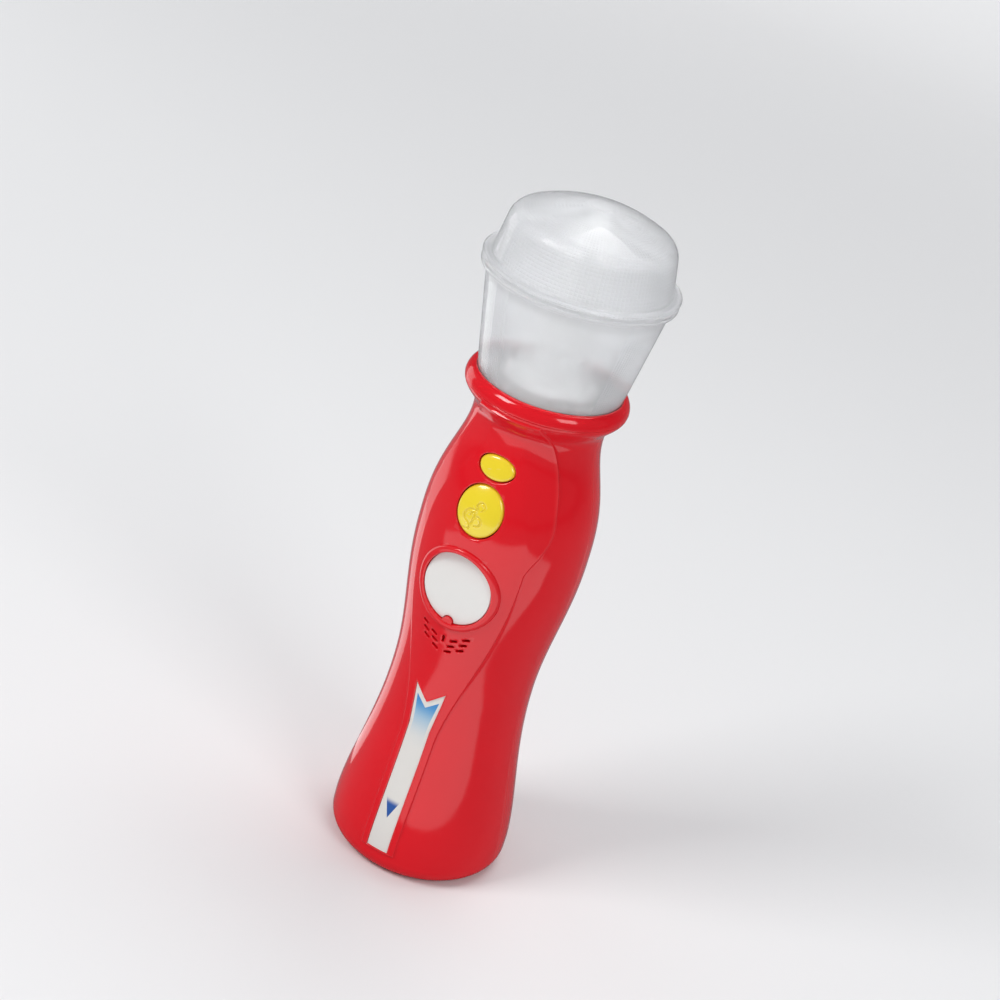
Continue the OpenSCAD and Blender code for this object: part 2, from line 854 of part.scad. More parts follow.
// ---- Speaker ---------------------------------------------------------------

// Turned part about the speaker's axis: radii against the distance behind its front face
module speaker_turned(points) {
    translate([0, -speaker_y, speaker_z]) rotate([-90, 0, 0]) rotate_extrude() polygon(points);
}

module speaker_frame() {
    rim_r = speaker_r - speaker_rim_w;
    back_r = magnet_r - 1;
    hub_r = back_r - dust_cap_r;
    color(STEEL)
        speaker_turned([
            [rim_r, 0], [speaker_r, 0], [speaker_r, speaker_rim_t],
            [speaker_r - basket_wall, speaker_rim_t], [magnet_r, basket_h], [hub_r, basket_h],
            [hub_r, basket_h - basket_wall], [back_r, basket_h - basket_wall],
            [rim_r, speaker_rim_t - 0.4]]);
}

module speaker_cone() {
    edge_r = speaker_r - speaker_rim_w - fit_gap;
    fold_r = speaker_r - dust_cap_r;
    color(DARK)
        speaker_turned([
            [0, 2.2], [dust_cap_r, 1.6], [fold_r, 0.5], [edge_r, 0.2],
            [edge_r, 0.2 + cone_t], [fold_r, 0.5 + cone_t], [dust_cap_r, 1.6 + cone_t], [0, 2.2 + cone_t]]);
}

module speaker_magnet() {
    color(STEEL)
        translate([0, -speaker_y + basket_h, speaker_z]) rotate([-90, 0, 0])
            cylinder(r = magnet_r, h = magnet_t);
}

// ---- Plate and label -------------------------------------------------------

module round_plate() {
    color(WHITE)
        to_front(plate_seat_y, plate_face_y) plate_outline();
}

module ribbon_label() {
    color(WHITE)
        intersection() {
            skin(panel_rise - 2 * ribbon_t, panel_rise - ribbon_t);
            to_front() ribbon_outline();
        }
}

// ---- Batteries -------------------------------------------------------------

// Everything in the bay stays inside this, so that the door closes over it
module bay_limit() {
    handle_solid(-max(shell_wall, door_wall) - door_lining);
}

module door_boss(z) {
    back_rod(0, z, door_boss_r, bay_floor_y, far);
}

module bay_box() {
    to_back(bay_floor_y, bay_rim_y)
        translate([-bay_half_w, bay_z]) square([2 * bay_half_w, bay_top_z - bay_z]);
}

module bay_hollow() {
    to_back(bay_floor_y + bay_wall)
        translate([-bay_half_w + bay_wall, bay_z + bay_wall])
            square([2 * (bay_half_w - bay_wall), bay_inner_l]);
}

module battery_bay() {
    color(RED)
        difference() {
            union() {
                intersection() {
                    bay_box();
                    bay_limit();
                }
                for (z = door_screw_z)
                    intersection() {
                        door_boss(z);
                        bay_limit();
                    }
            }
            bay_hollow();
            for (z = door_screw_z) back_rod(0, z, screw_r + pilot_gap, bay_floor_y + 1, far);
        }
}

// One cell, stud up or stud down
module battery(side, stud_up) {
    body_l = cell_l - stud_l;
    low_z = contact_low_z + (stud_up ? spring_room : flat_room);
    translate([side * cell_x, cell_y, low_z + (stud_up ? 0 : stud_l)]) {
        cylinder(r = cell_r, h = body_l);
        translate([0, 0, stud_up ? body_l - bite : -stud_l]) cylinder(r = stud_r, h = stud_l + bite);
    }
}

module battery_left() {
    color(YELLOW) battery(-1, true);
}

module battery_right() {
    color(YELLOW) battery(1, false);
}

module contact_plate(side, z, thickness) {
    translate([side * cell_x - contact_half_w, cell_y - contact_half_w, z])
        cube([2 * contact_half_w, 2 * contact_half_w, thickness]);
}

// Space a coil spring fills between its plate and the battery
module contact_spring() {
    rotate_extrude()
        polygon([[spring_r - spring_wall, contact_t - bite], [spring_r, contact_t - bite],
            [spring_r - spring_taper, spring_room],
            [spring_r - spring_taper - spring_wall, spring_room]]);
}

module spring_contacts() {
    color(STEEL) {
        contact_plate(-1, contact_low_z, contact_t);
        translate([-cell_x, cell_y, contact_low_z]) contact_spring();
        contact_plate(1, contact_high_z - contact_t, contact_t);
        translate([cell_x, cell_y, contact_high_z]) mirror([0, 0, 1]) contact_spring();
    }
}

module flat_contacts() {
    color(STEEL) {
        contact_plate(-1, contact_high_z - flat_room, flat_room);
        contact_plate(1, contact_low_z, flat_room);
    }
}

// Hole for a screw with its head let in: one turned tool
module screw_well(z) {
    hole_r = screw_r + screw_gap;
    head_hole_r = screw_head_r + screw_gap;
    seat_y = handle_r(z) - door_screw_head_t;
    translate([0, 0, z]) rotate([-90, 0, 0])
        rotate_extrude()
            polygon([[0, 0], [hole_r, 0], [hole_r, seat_y], [head_hole_r, seat_y],
                [head_hole_r, far], [0, far]]);
}

module battery_door() {
    color(RED)
        difference() {
            intersection() {
                skin(-door_wall, 0);
                to_back(cell_y) door_outline();
            }
            for (z = door_screw_z) screw_well(z);
        }
}

module door_screws() {
    color(STEEL)
        for (z = door_screw_z) {
            seat_y = handle_r(z) - door_screw_head_t;
            back_rod(0, z, screw_r, seat_y - door_screw_l, seat_y + bite);
            back_rod(0, z, screw_head_r, seat_y, seat_y + door_screw_head_t - door_screw_head_sink);
        }
}

module shell_screws() {
    color(STEEL)
        both_sides() for (p = screw_places) {
            back_rod(p[0], p[1], screw_head_r, screw_seat_y, screw_seat_y + head_t);
            back_rod(p[0], p[1], screw_r, -screw_reach, screw_seat_y + bite);
        }
}

// ---- Wires -----------------------------------------------------------------

// Straight stretch of wire between two points
module wire_run(from, to) {
    d = to - from;
    length = norm(d);
    translate(from)
        rotate([0, acos(d[2] / length), atan2(d[1], d[0])])
            cylinder(r = wire_r, h = length, $fn = 16);
}

module wire(points) {
    for (i = [0:len(points) - 2]) wire_run(points[i], points[i + 1]);
    for (i = [1:len(points) - 2]) translate(points[i]) sphere(bend_r, $fn = 16);
}

module led_wires() {
    low_z = board_top_z - led_wire_inset;
    color(YELLOW)
        for (x = [-wire_half_gap, wire_half_gap])
            wire([[x, led_wire_y, led_board_z], [x, led_wire_y, led_board_z - led_wire_drop],
                [x, -led_wire_bend_y, low_z], [x, -board_back_y, low_z]]);
}

module speaker_wires() {
    tail_y = -speaker_y + basket_h + magnet_t;
    tail_z = speaker_z + wire_half_gap;
    high_z = board_low_z + speaker_wire_inset;
    color(DARK)
        for (x = [-wire_half_gap, wire_half_gap])
            wire([[x, tail_y, tail_z], [x, tail_y + speaker_wire_tail, tail_z],
                [x, tail_y + speaker_wire_tail, high_z], [x, -board_back_y, high_z]]);
}

module battery_wires() {
    high_z = board_low_z + battery_wire_inset;
    color([0.75, 0.12, 0.12])
        for (side = [-1, 1])
            wire([[side * cell_x, cell_y, bay_top_z],
                [side * cell_x, cell_y, bay_top_z + battery_wire_rise],
                [side * battery_wire_half_gap, 0, high_z],
                [side * battery_wire_half_gap, -board_back_y, high_z]]);
}

front_shell();
back_shell();
collar_ring();
head_cup();
head_dome();
light_tower();
led_board();
leds();
small_button();
large_button();
rubber_keypad();
main_board();
chip_cap();
capacitor();
board_screws();
speaker_frame();
speaker_cone();
speaker_magnet();
round_plate();
ribbon_label();
battery_bay();
battery_left();
battery_right();
spring_contacts();
flat_contacts();
battery_door();
door_screws();
shell_screws();
led_wires();
speaker_wires();
battery_wires();
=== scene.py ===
"""Toy microphone: the looks of every piece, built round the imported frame."""

import json
import math

import bmesh
import bpy
import numpy as np
from bpy.props import FloatProperty, FloatVectorProperty, IntProperty, PointerProperty
from mathutils import Matrix, Vector


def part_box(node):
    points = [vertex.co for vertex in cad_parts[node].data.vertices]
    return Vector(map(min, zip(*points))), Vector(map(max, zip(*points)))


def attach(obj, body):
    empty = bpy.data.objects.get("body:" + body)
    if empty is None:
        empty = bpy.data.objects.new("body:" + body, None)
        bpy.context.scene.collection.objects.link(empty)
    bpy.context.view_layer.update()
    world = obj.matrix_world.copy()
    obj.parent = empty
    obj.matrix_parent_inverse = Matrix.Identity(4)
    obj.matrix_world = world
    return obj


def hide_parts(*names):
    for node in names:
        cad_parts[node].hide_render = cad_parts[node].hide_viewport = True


bl_info = {
    "name": "Toy Microphone",
    "version": (1, 0, 0),
    "blender": (4, 5, 0),
    "location": "3D View > Sidebar > Toy Microphone",
    "description": "Builds the shells, frosted head, buttons, label, door and stage of a toy microphone",
    "category": "Add Mesh",
}

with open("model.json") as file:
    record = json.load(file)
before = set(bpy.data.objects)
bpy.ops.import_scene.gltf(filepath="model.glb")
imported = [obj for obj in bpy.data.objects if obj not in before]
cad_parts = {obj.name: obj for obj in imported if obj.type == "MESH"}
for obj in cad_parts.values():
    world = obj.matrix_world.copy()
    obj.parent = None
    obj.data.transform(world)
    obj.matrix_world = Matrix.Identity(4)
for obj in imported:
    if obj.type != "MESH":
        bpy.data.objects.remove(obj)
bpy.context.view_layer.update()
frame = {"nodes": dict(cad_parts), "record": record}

MM = 0.001
TURN = 2 * math.pi
FRONT, BACK = -1, 1  # side of the handle, as the sign of Y


def box_mm(node):
    """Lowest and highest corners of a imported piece, in millimetres."""
    return [[value / MM for value in corner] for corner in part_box(node)]


FRONT_HIGH = box_mm("front_shell")[1]
COLLAR_LOW, COLLAR_HIGH = box_mm("collar_ring")
CUP_LOW, CUP_HIGH = box_mm("head_cup")
DOME_LOW, DOME_HIGH = box_mm("head_dome")
TOWER_LOW, TOWER_HIGH = box_mm("light_tower")
PLATE_LOW, PLATE_HIGH = box_mm("round_plate")
RIBBON_LOW, RIBBON_HIGH = box_mm("ribbon_label")
DOOR_LOW, DOOR_HIGH = box_mm("battery_door")
BAY_LOW, BAY_HIGH = box_mm("battery_bay")
SPEAKER_LOW, SPEAKER_HIGH = box_mm("speaker_frame")


# ---- Sizes and colours that a user would change ----------------------------


class MicrophoneSizes(bpy.types.PropertyGroup):
    """Sizes of the microphone's pieces"""

    foot_radius: FloatProperty(
        name="Foot radius", description="Widest radius of the foot",
        default=FRONT_HIGH[0] * MM, min=0.02, subtype="DISTANCE", unit="LENGTH")
    waist_radius: FloatProperty(
        name="Waist radius", description="Radius of the slim waist above the foot",
        default=0.0229, min=0.018, subtype="DISTANCE", unit="LENGTH")
    bulge_radius: FloatProperty(
        name="Bulge radius", description="Radius of the handle behind the round plate",
        default=0.0272, min=0.02, subtype="DISTANCE", unit="LENGTH")
    neck_radius: FloatProperty(
        name="Neck radius", description="Radius of the handle's neck under the collar",
        default=0.0204, min=0.015, subtype="DISTANCE", unit="LENGTH")
    shell_wall: FloatProperty(
        name="Shell wall", description="Thickness of the moulded shells",
        default=0.0022, min=0.001, subtype="DISTANCE", unit="LENGTH")
    panel_rise: FloatProperty(
        name="Panel rise", description="Height of the raised front panel",
        default=0.0005, min=0.0001, subtype="DISTANCE", unit="LENGTH")
    ring_rise: FloatProperty(
        name="Ring rise", description="Height of the ring round the plate above the shell",
        default=0.0012, min=0.0005, subtype="DISTANCE", unit="LENGTH")
    button_rise: FloatProperty(
        name="Button rise", description="How far the button caps stand proud of the shell",
        default=0.0011, min=0.0005, subtype="DISTANCE", unit="LENGTH")
    button_gap: FloatProperty(
        name="Button gap", description="Gap round each cap in its opening",
        default=0.0003, min=0.0001, subtype="DISTANCE", unit="LENGTH")
    slot_length: FloatProperty(
        name="Sound slot length", description="Length of one sound slot",
        default=0.0026, min=0.001, subtype="DISTANCE", unit="LENGTH")
    slot_width: FloatProperty(
        name="Sound slot width", description="Width of one sound slot",
        default=0.0009, min=0.0004, subtype="DISTANCE", unit="LENGTH")
    slot_slope: FloatProperty(
        name="Sound slot slope", description="Slope of the outer sound slots",
        default=math.radians(23), subtype="ANGLE", unit="ROTATION")
    head_wall: FloatProperty(
        name="Head wall", description="Wall of the frosted cup and dome",
        default=0.0016, min=0.0008, subtype="DISTANCE", unit="LENGTH")
    cup_ribs: IntProperty(
        name="Cup ribs", description="Fine upright ribs round the inside of the cup",
        default=150, min=0, max=300)
    tower_turn: FloatProperty(
        name="Tower turn", description="Turn of the square light tower about the head's axis",
        default=math.radians(10), subtype="ANGLE", unit="ROTATION")


class MicrophoneColours(bpy.types.PropertyGroup):
    """Colours of the microphone's finishes"""

    red: FloatVectorProperty(
        name="Red plastic", description="Glossy plastic of the shells, collar and door",
        default=(0.75, 0.006, 0.014), size=3, min=0, max=1, subtype="COLOR")
    yellow: FloatVectorProperty(
        name="Yellow plastic", description="Glossy plastic of the two buttons",
        default=(0.90, 0.70, 0.022), size=3, min=0, max=1, subtype="COLOR")
    frost: FloatVectorProperty(
        name="Frosted plastic", description="Milky plastic of the cup and the dome",
        default=(0.985, 0.99, 0.997), size=3, min=0, max=1, subtype="COLOR")
    white: FloatVectorProperty(
        name="White plastic", description="Plastic of the round plate",
        default=(0.80, 0.79, 0.76), size=3, min=0, max=1, subtype="COLOR")
    label_white: FloatVectorProperty(
        name="Label white", description="Ground colour of the ribbon label",
        default=(0.76, 0.74, 0.70), size=3, min=0, max=1, subtype="COLOR")
    label_blue: FloatVectorProperty(
        name="Label blue", description="Blue of the label's forked top",
        default=(0.032, 0.25, 0.60), size=3, min=0, max=1, subtype="COLOR")
    label_deep_blue: FloatVectorProperty(
        name="Label deep blue", description="Blue of the label's small triangle",
        default=(0.010, 0.085, 0.36), size=3, min=0, max=1, subtype="COLOR")
    floor: FloatVectorProperty(
        name="Floor", description="Pale floor and backdrop",
        default=(0.80, 0.80, 0.80), size=3, min=0, max=1, subtype="COLOR")


def setting(name):
    """One of the microphone's sizes as it is kept: metres, radians or a count."""
    return getattr(bpy.context.scene.microphone_sizes, name)


def size(name):
    """One of the microphone's lengths, in millimetres."""
    return setting(name) / MM


def colour(name):
    return (*getattr(bpy.context.scene.microphone_colours, name), 1.0)


# ---- Outline of the handle, in millimetres ---------------------------------

FOOT_Z, WAIST_Z, BULGE_Z, NECK_Z = 9.0, 67.0, 115.0, 157.5
FOOT_EDGE, FOOT_RINGS = 6.0, (0.0, 7.0, 14.0, 20.0)
FLARE_W, FLARE_EASE, FLARE_ROUND = 5.0, 1.4, 0.3
SPIGOT_R, SPIGOT_H = 21.0, 1.2
HANDLE_ROWS, FLARE_ROWS = 170, 40
PANEL_LOW_Z, PANEL_TIGHT_Z, PANEL_WIDE_Z, PANEL_SIDE_Z = 8.0, 50.0, 118.0, 132.0
PANEL_TOP_Z = COLLAR_LOW[2] - 1.2
PANEL_NARROW, PANEL_WIDE, PANEL_CREASE_TOP = 5.4, 16.9, 5.6
PANEL_BORDER, PANEL_SIDE, PANEL_CORNER = 0.3, 20.7, 9.9
PANEL_STEP, PANEL_TOP_RISE, PANEL_BORDER_SHARE = 0.65, 0.3, 0.6
PANEL_LOW_LEVELS = (6.6, 7.2, 7.6, 8.0, 8.3, 8.6)  # rows that carry the panel's lower end
PANEL_TOP_LEVELS = (-0.12, 0.0, 0.08, 0.16, 0.24, 0.36)  # and its upper end, from PANEL_TOP_Z
PANEL_LOW_EASE, PANEL_TOP_EASE = 0.6, 0.24
FACET_FLATNESS = 0.7


def clamp(share):
    return min(1.0, max(0.0, share))


def ease(share):
    return (1 - math.cos(math.pi * share)) / 2


def turn(start, end, share, power=1.0):
    """Value on its smooth way from start to end."""
    return start + (end - start) * ease(clamp(share) ** power)


def over(low, high, z):
    return (z - low) / (high - low)


def handle_radius(z):
    """Outer radius of the handle above the round of its foot."""
    foot, waist, bulge = size("foot_radius"), size("waist_radius"), size("bulge_radius")
    if z <= FOOT_Z:
        return foot
    if z <= WAIST_Z:
        return turn(foot, waist, over(FOOT_Z, WAIST_Z, z), 0.8)
    if z <= BULGE_Z:
        return turn(waist, bulge, over(WAIST_Z, BULGE_Z, z))
    return turn(bulge, size("neck_radius"), over(BULGE_Z, NECK_Z, z), 1.5)


def crease_x(z):
    """Half-width of the front panel's middle, between its two creases."""
    if z > PANEL_WIDE_Z:
        return turn(PANEL_WIDE, PANEL_CREASE_TOP, over(PANEL_WIDE_Z, NECK_Z, z), 1.3)
    if z > PANEL_TIGHT_Z:
        return turn(PANEL_NARROW, PANEL_WIDE, over(PANEL_TIGHT_Z, PANEL_WIDE_Z, z), 0.85)
    return PANEL_NARROW


def border_x(z):
    """Half-width of the whole front panel, with the facets beside its middle."""
    if z > PANEL_SIDE_Z:
        up = min(1.0, over(PANEL_SIDE_Z, PANEL_TOP_Z, z))
        return PANEL_SIDE - (PANEL_SIDE - PANEL_CORNER) * up ** 1.35
    if z > PANEL_WIDE_Z:
        return turn(PANEL_WIDE + PANEL_BORDER, PANEL_SIDE, over(PANEL_WIDE_Z, PANEL_SIDE_Z, z), 0.75)
    return crease_x(z) + PANEL_BORDER


def panel_heights(z):
    """Rise of the panel's middle and of its border above the handle."""
    up = ease(clamp(over(PANEL_WIDE_Z, NECK_Z, z)))
    rise = size("panel_rise")
    return rise + PANEL_TOP_RISE * up, rise + PANEL_BORDER_SHARE * PANEL_TOP_RISE * up


def front_radius(z):
    """Radius of the front's surface on its middle panel."""
    return handle_radius(z) + panel_heights(z)[0]


def flare_radius(z):
    """Outer radius of the flare that carries the collar."""
    neck = size("neck_radius")
    return turn(neck, neck + FLARE_W, over(NECK_Z, COLLAR_LOW[2], z), FLARE_EASE)


def sloped_row(radius, z, step, inner_r):
    """Row of the outline where its radius changes with the height."""
    slope = (radius(z + step) - radius(z - step)) / (2 * step) if z > FOOT_Z else 0.0
    length = math.hypot(1, slope)
    return radius(z), z, 1 / length, -slope / length, inner_r, z


def outline_rows():
    """Outer outline from the middle of the foot to the spigot: radius, height, normal, inner point."""
    wall, top = size("shell_wall"), COLLAR_LOW[2]
    inner_neck, arc_r = size("neck_radius") - wall, size("foot_radius") - FOOT_EDGE
    rows = [(r, 0.0, 0.0, -1.0, r, wall) for r in FOOT_RINGS]
    for i in range(13):
        a = math.radians(-90 + 90 * i / 12)
        c, s = math.cos(a), math.sin(a)
        rows.append((arc_r + FOOT_EDGE * c, FOOT_EDGE + FOOT_EDGE * s, c, s,
                     arc_r + (FOOT_EDGE - wall) * c, FOOT_EDGE + (FOOT_EDGE - wall) * s))
    for z in [*PANEL_LOW_LEVELS, *np.linspace(FOOT_Z, NECK_Z, HANDLE_ROWS)]:
        rows.append(sloped_row(handle_radius, z, 0.05, handle_radius(z) - wall))
    heights = list(np.linspace(NECK_Z, top - FLARE_ROUND, FLARE_ROWS)[1:])
    for z in sorted(heights + [PANEL_TOP_Z + level for level in PANEL_TOP_LEVELS]):
        rows.append(sloped_row(flare_radius, z, 0.02, inner_neck))
    for i in range(1, 6):
        a = math.radians(90 * i / 5)
        z = top - FLARE_ROUND * (1 - math.sin(a))
        rows.append((flare_radius(top) - FLARE_ROUND * (1 - math.cos(a)), z, math.cos(a), math.sin(a),
                     inner_neck, z))
    rows.append((SPIGOT_R, top, 0.0, 0.0, inner_neck, top + 0.1))
    rows.append((SPIGOT_R, top + SPIGOT_H, 0.0, 0.0, inner_neck, top + SPIGOT_H))
    return rows


# ---- Mesh tools ------------------------------------------------------------

BEYOND = 40.0  # distance from the axis that is clear of the handle


def linked(name, mesh):
    piece = bpy.data.objects.new(name, mesh)
    bpy.context.scene.collection.objects.link(piece)
    return piece


def removed(piece):
    used = piece.data
    bpy.data.objects.remove(piece)
    bpy.data.meshes.remove(used)


def new_piece(name, points, faces):
    """Clean mesh object from points in millimetres, still in millimetres."""
    mesh = bpy.data.meshes.new(name)
    mesh.from_pydata([tuple(map(float, p)) for p in points], [], faces)
    soft = bmesh.new()
    soft.from_mesh(mesh)
    bmesh.ops.remove_doubles(soft, verts=soft.verts, dist=1e-4)
    bmesh.ops.recalc_face_normals(soft, faces=soft.faces)
    soft.to_mesh(mesh)
    soft.free()
    return linked(name, mesh)


def grid_faces(rows, columns, start=0, closed=False):
    last = columns if closed else columns - 1
    return [
        (start + i * columns + j, start + i * columns + (j + 1) % columns,
         start + (i + 1) * columns + (j + 1) % columns, start + (i + 1) * columns + j)
        for i in range(rows - 1) for j in range(last)
    ]


def closing_faces(rows, columns):
    """Faces from the last row of a closed grid back to its first."""
    last = (rows - 1) * columns
    return [(last + j, last + (j + 1) % columns, (j + 1) % columns, j) for j in range(columns)]


def thick_sheet(name, outer, inner):
    """Closed body between two sheets of the same rows and columns."""
    rows, columns = len(outer), len(outer[0])
    points = [p for row in outer for p in row] + [p for row in inner for p in row]
    count = rows * columns
    faces = grid_faces(rows, columns) + grid_faces(rows, columns, count)
    rim = [(i, 0) for i in range(rows)] + [(rows - 1, j) for j in range(1, columns)]
    rim += [(i, columns - 1) for i in range(rows - 2, -1, -1)] + [(0, j) for j in range(columns - 2, 0, -1)]
    loop = [i * columns + j for i, j in rim]
    for here, there in zip(loop, loop[1:] + loop[:1]):
        faces.append((here, there, there + count, here + count))
    return new_piece(name, points, faces)


def revolve(name, outline, steps, ribs=0, rib_depth=0.0, ribbed=()):
    """Solid of revolution about the upright axis from a closed outline of radii and heights."""
    points = []
    for i, (r, z) in enumerate(outline):
        for j in range(steps):
            a = TURN * j / steps
            here = r + (rib_depth * math.cos(a * ribs) if i in ribbed else 0.0)
            points.append((here * math.cos(a), here * math.sin(a), z))
    faces = grid_faces(len(outline), steps, closed=True) + closing_faces(len(outline), steps)
    return new_piece(name, points, faces)


def loft(name, rings, tip_start=None, tip_end=None):
    """Closed body through rings of the same count, each end closed to a point in its middle."""
    count = len(rings[0])
    points = [p for ring in rings for p in ring]
    faces = grid_faces(len(rings), count, closed=True)
    for ring, tip, base in ((rings[0], tip_start, 0), (rings[-1], tip_end, (len(rings) - 1) * count)):
        points.append(tip if tip is not None else tuple(np.mean(np.array(ring), axis=0)))
        at = len(points) - 1
        faces += [(base + j, base + (j + 1) % count, at) for j in range(count)]
    return new_piece(name, points, faces)


def prism(name, outline, depths, *tips):
    """Closed body through an upright outline that is repeated at each depth."""
    return loft(name, [[(x, y, z) for x, z in outline] for y in depths], *tips)


def combine(piece, tool, operation):
    """Cuts, joins or crops a piece with a tool, which is used up."""
    change = piece.modifiers.new(operation, "BOOLEAN")
    change.operation = operation
    change.object = tool
    change.solver = "MANIFOLD"
    bpy.context.view_layer.update()
    shaped = piece.evaluated_get(bpy.context.evaluated_depsgraph_get())
    mesh = bpy.data.meshes.new_from_object(shaped)
    if not mesh.polygons or len(mesh.vertices) == len(piece.data.vertices):
        raise RuntimeError(f"{operation} of {piece.name} with {tool.name} failed")
    old = piece.data
    piece.modifiers.clear()
    piece.data = mesh
    bpy.data.meshes.remove(old)
    removed(tool)


def settle(piece, body, slot, replaced, material=None, sharp=35):
    """Puts a finished piece into metres, smooths it and sets what it rides on and stands for."""
    piece.data.transform(Matrix.Scale(MM, 4))
    piece.data.shade_smooth()
    piece.data.set_sharp_from_angle(angle=math.radians(sharp))
    piece.data.materials.clear()
    piece.data.materials.append(material or slot_finish(slot))
    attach(piece, body)
    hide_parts(replaced)


def merged(name, pieces):
    """One object from separate closed bodies that don't overlap."""
    soft = bmesh.new()
    for piece in pieces:
        soft.from_mesh(piece.data)
    mesh = bpy.data.meshes.new(name)
    soft.to_mesh(mesh)
    soft.free()
    for piece in pieces:
        removed(piece)
    return linked(name, mesh)


def offset_outline(points, distance):
    """Outline moved outwards along its own normals; points run counter-clockwise."""
    if not distance:
        return list(points)
    here = np.array(points, float)
    ahead, behind = np.roll(here, -1, axis=0) - here, here - np.roll(here, 1, axis=0)
    ahead /= np.linalg.norm(ahead, axis=1)[:, None]
    behind /= np.linalg.norm(behind, axis=1)[:, None]
    normal_a = np.stack([ahead[:, 1], -ahead[:, 0]], axis=1)
    normal_b = np.stack([behind[:, 1], -behind[:, 0]], axis=1)
    middle = normal_a + normal_b
    middle /= np.maximum(np.linalg.norm(middle, axis=1), 1e-6)[:, None]
    stretch = np.maximum((middle * normal_a).sum(axis=1), 0.5)
    return [tuple(p) for p in here + middle * (distance / stretch)[:, None]]


def ellipse(half_w, half_h, z, count=96, x=0.0):
    return [(x + half_w * math.cos(TURN * i / count), z + half_h * math.sin(TURN * i / count))
            for i in range(count)]


def circle(radius, z, count, x=0.0):
    return ellipse(radius, radius, z, count, x)


def arc(cx, cz, r, start, end, steps):
    """Points of an arc from one angle to another, in degrees."""
    return [(cx + r * math.cos(a), cz + r * math.sin(a))
            for a in (math.radians(start + (end - start) * i / steps) for i in range(steps + 1))]


def between(here, there, steps, first=1):
    """Points that divide a line into equal steps, without its end."""
    return [tuple(a + (b - a) * k / steps for a, b in zip(here, there)) for k in range(first, steps)]


def rounding(radius, degrees):
    """How far a rounded edge has turned in, and how deep it still lies, at each angle."""
    return [(radius * (1 - math.cos(a)), radius * (1 - math.sin(a))) for a in map(math.radians, degrees)]


def rounded_outline(corners, radius, steps=6):
    """Counter-clockwise outline with each corner rounded."""
    points = []
    count = len(corners)
    for i, corner in enumerate(corners):
        p = np.array(corner, float)
        before, after = np.array(corners[i - 1], float), np.array(corners[(i + 1) % count], float)
        before_l, after_l = np.linalg.norm(before - p), np.linalg.norm(after - p)
        a, b = (before - p) / before_l, (after - p) / after_l
        half = math.acos(max(-1, min(1, float(a @ b)))) / 2
        reach = min(radius / math.tan(half), before_l * 0.45, after_l * 0.45)
        start, end = p + a * reach, p + b * reach
        for t in (k / steps for k in range(steps + 1)):
            points.append(tuple((1 - t) ** 2 * start + 2 * t * (1 - t) * p + t ** 2 * end))
    return points


def surface_point(x, z, side, rise=0.0, radius=handle_radius):
    """Point on one side of the handle at a distance above its surface."""
    r = max(radius(z) + rise, abs(x) + 0.5)
    return (x, side * math.sqrt(r * r - x * x), z)


def surface_tool(name, outline, side, deep_y, lip, radius=handle_radius, inward=False):
    """Tool through the handle's surface whose edge there opens, or closes, with a small round."""
    way = -1 if inward else 1
    middle_z = sum(z for _, z in outline) / len(outline)
    rings = [[(x, side * deep_y, z) for x, z in outline]]
    for spread, depth in rounding(lip, (0, 25, 50, 72)):
        ring = offset_outline(outline, way * spread)
        rings.append([surface_point(x, z, side, -depth, radius) for x, z in ring])
    ring = offset_outline(outline, way * (lip * 0.7 + 0.2))
    rings.append([surface_point(x, z, side, 0.1, radius) for x, z in ring])
    rings.append([(x, side * BEYOND, z) for x, z in ring])
    return loft(name, rings, (0.0, side * deep_y, middle_z), (0.0, side * BEYOND, middle_z))


def smooth_path(points, per_span):
    """Catmull-Rom curve through points."""
    p = [np.array(q, float) for q in points]
    p = [2 * p[0] - p[1], *p, 2 * p[-1] - p[-2]]
    curve = []
    for i in range(1, len(p) - 2):
        for t in (k / per_span for k in range(per_span)):
            curve.append(0.5 * (2 * p[i] + (p[i + 1] - p[i - 1]) * t
                                + (2 * p[i - 1] - 5 * p[i] + 4 * p[i + 1] - p[i + 2]) * t * t
                                + (3 * p[i] - p[i - 1] - 3 * p[i + 1] + p[i + 2]) * t ** 3))
    return curve + [p[-2]]


def tube(name, path, radius, sides=12):
    """Round bar along a path, of one radius or of one that changes along it."""
    path = [np.array(p, float) for p in path]
    rings, up = [], np.array((0.3, 0.2, 1.0))
    for i, p in enumerate(path):
        way = path[min(i + 1, len(path) - 1)] - path[max(i - 1, 0)]
        way /= np.linalg.norm(way)
        across = np.cross(way, up)
        across /= np.linalg.norm(across)
        up = np.cross(across, way)
        r = radius(i / (len(path) - 1)) if callable(radius) else radius
        rings.append([tuple(p + r * (math.cos(TURN * k / sides) * across + math.sin(TURN * k / sides) * up))
                      for k in range(sides)])
    return loft(name, rings)


# ---- Shader effects shared by several finishes -----------------------------


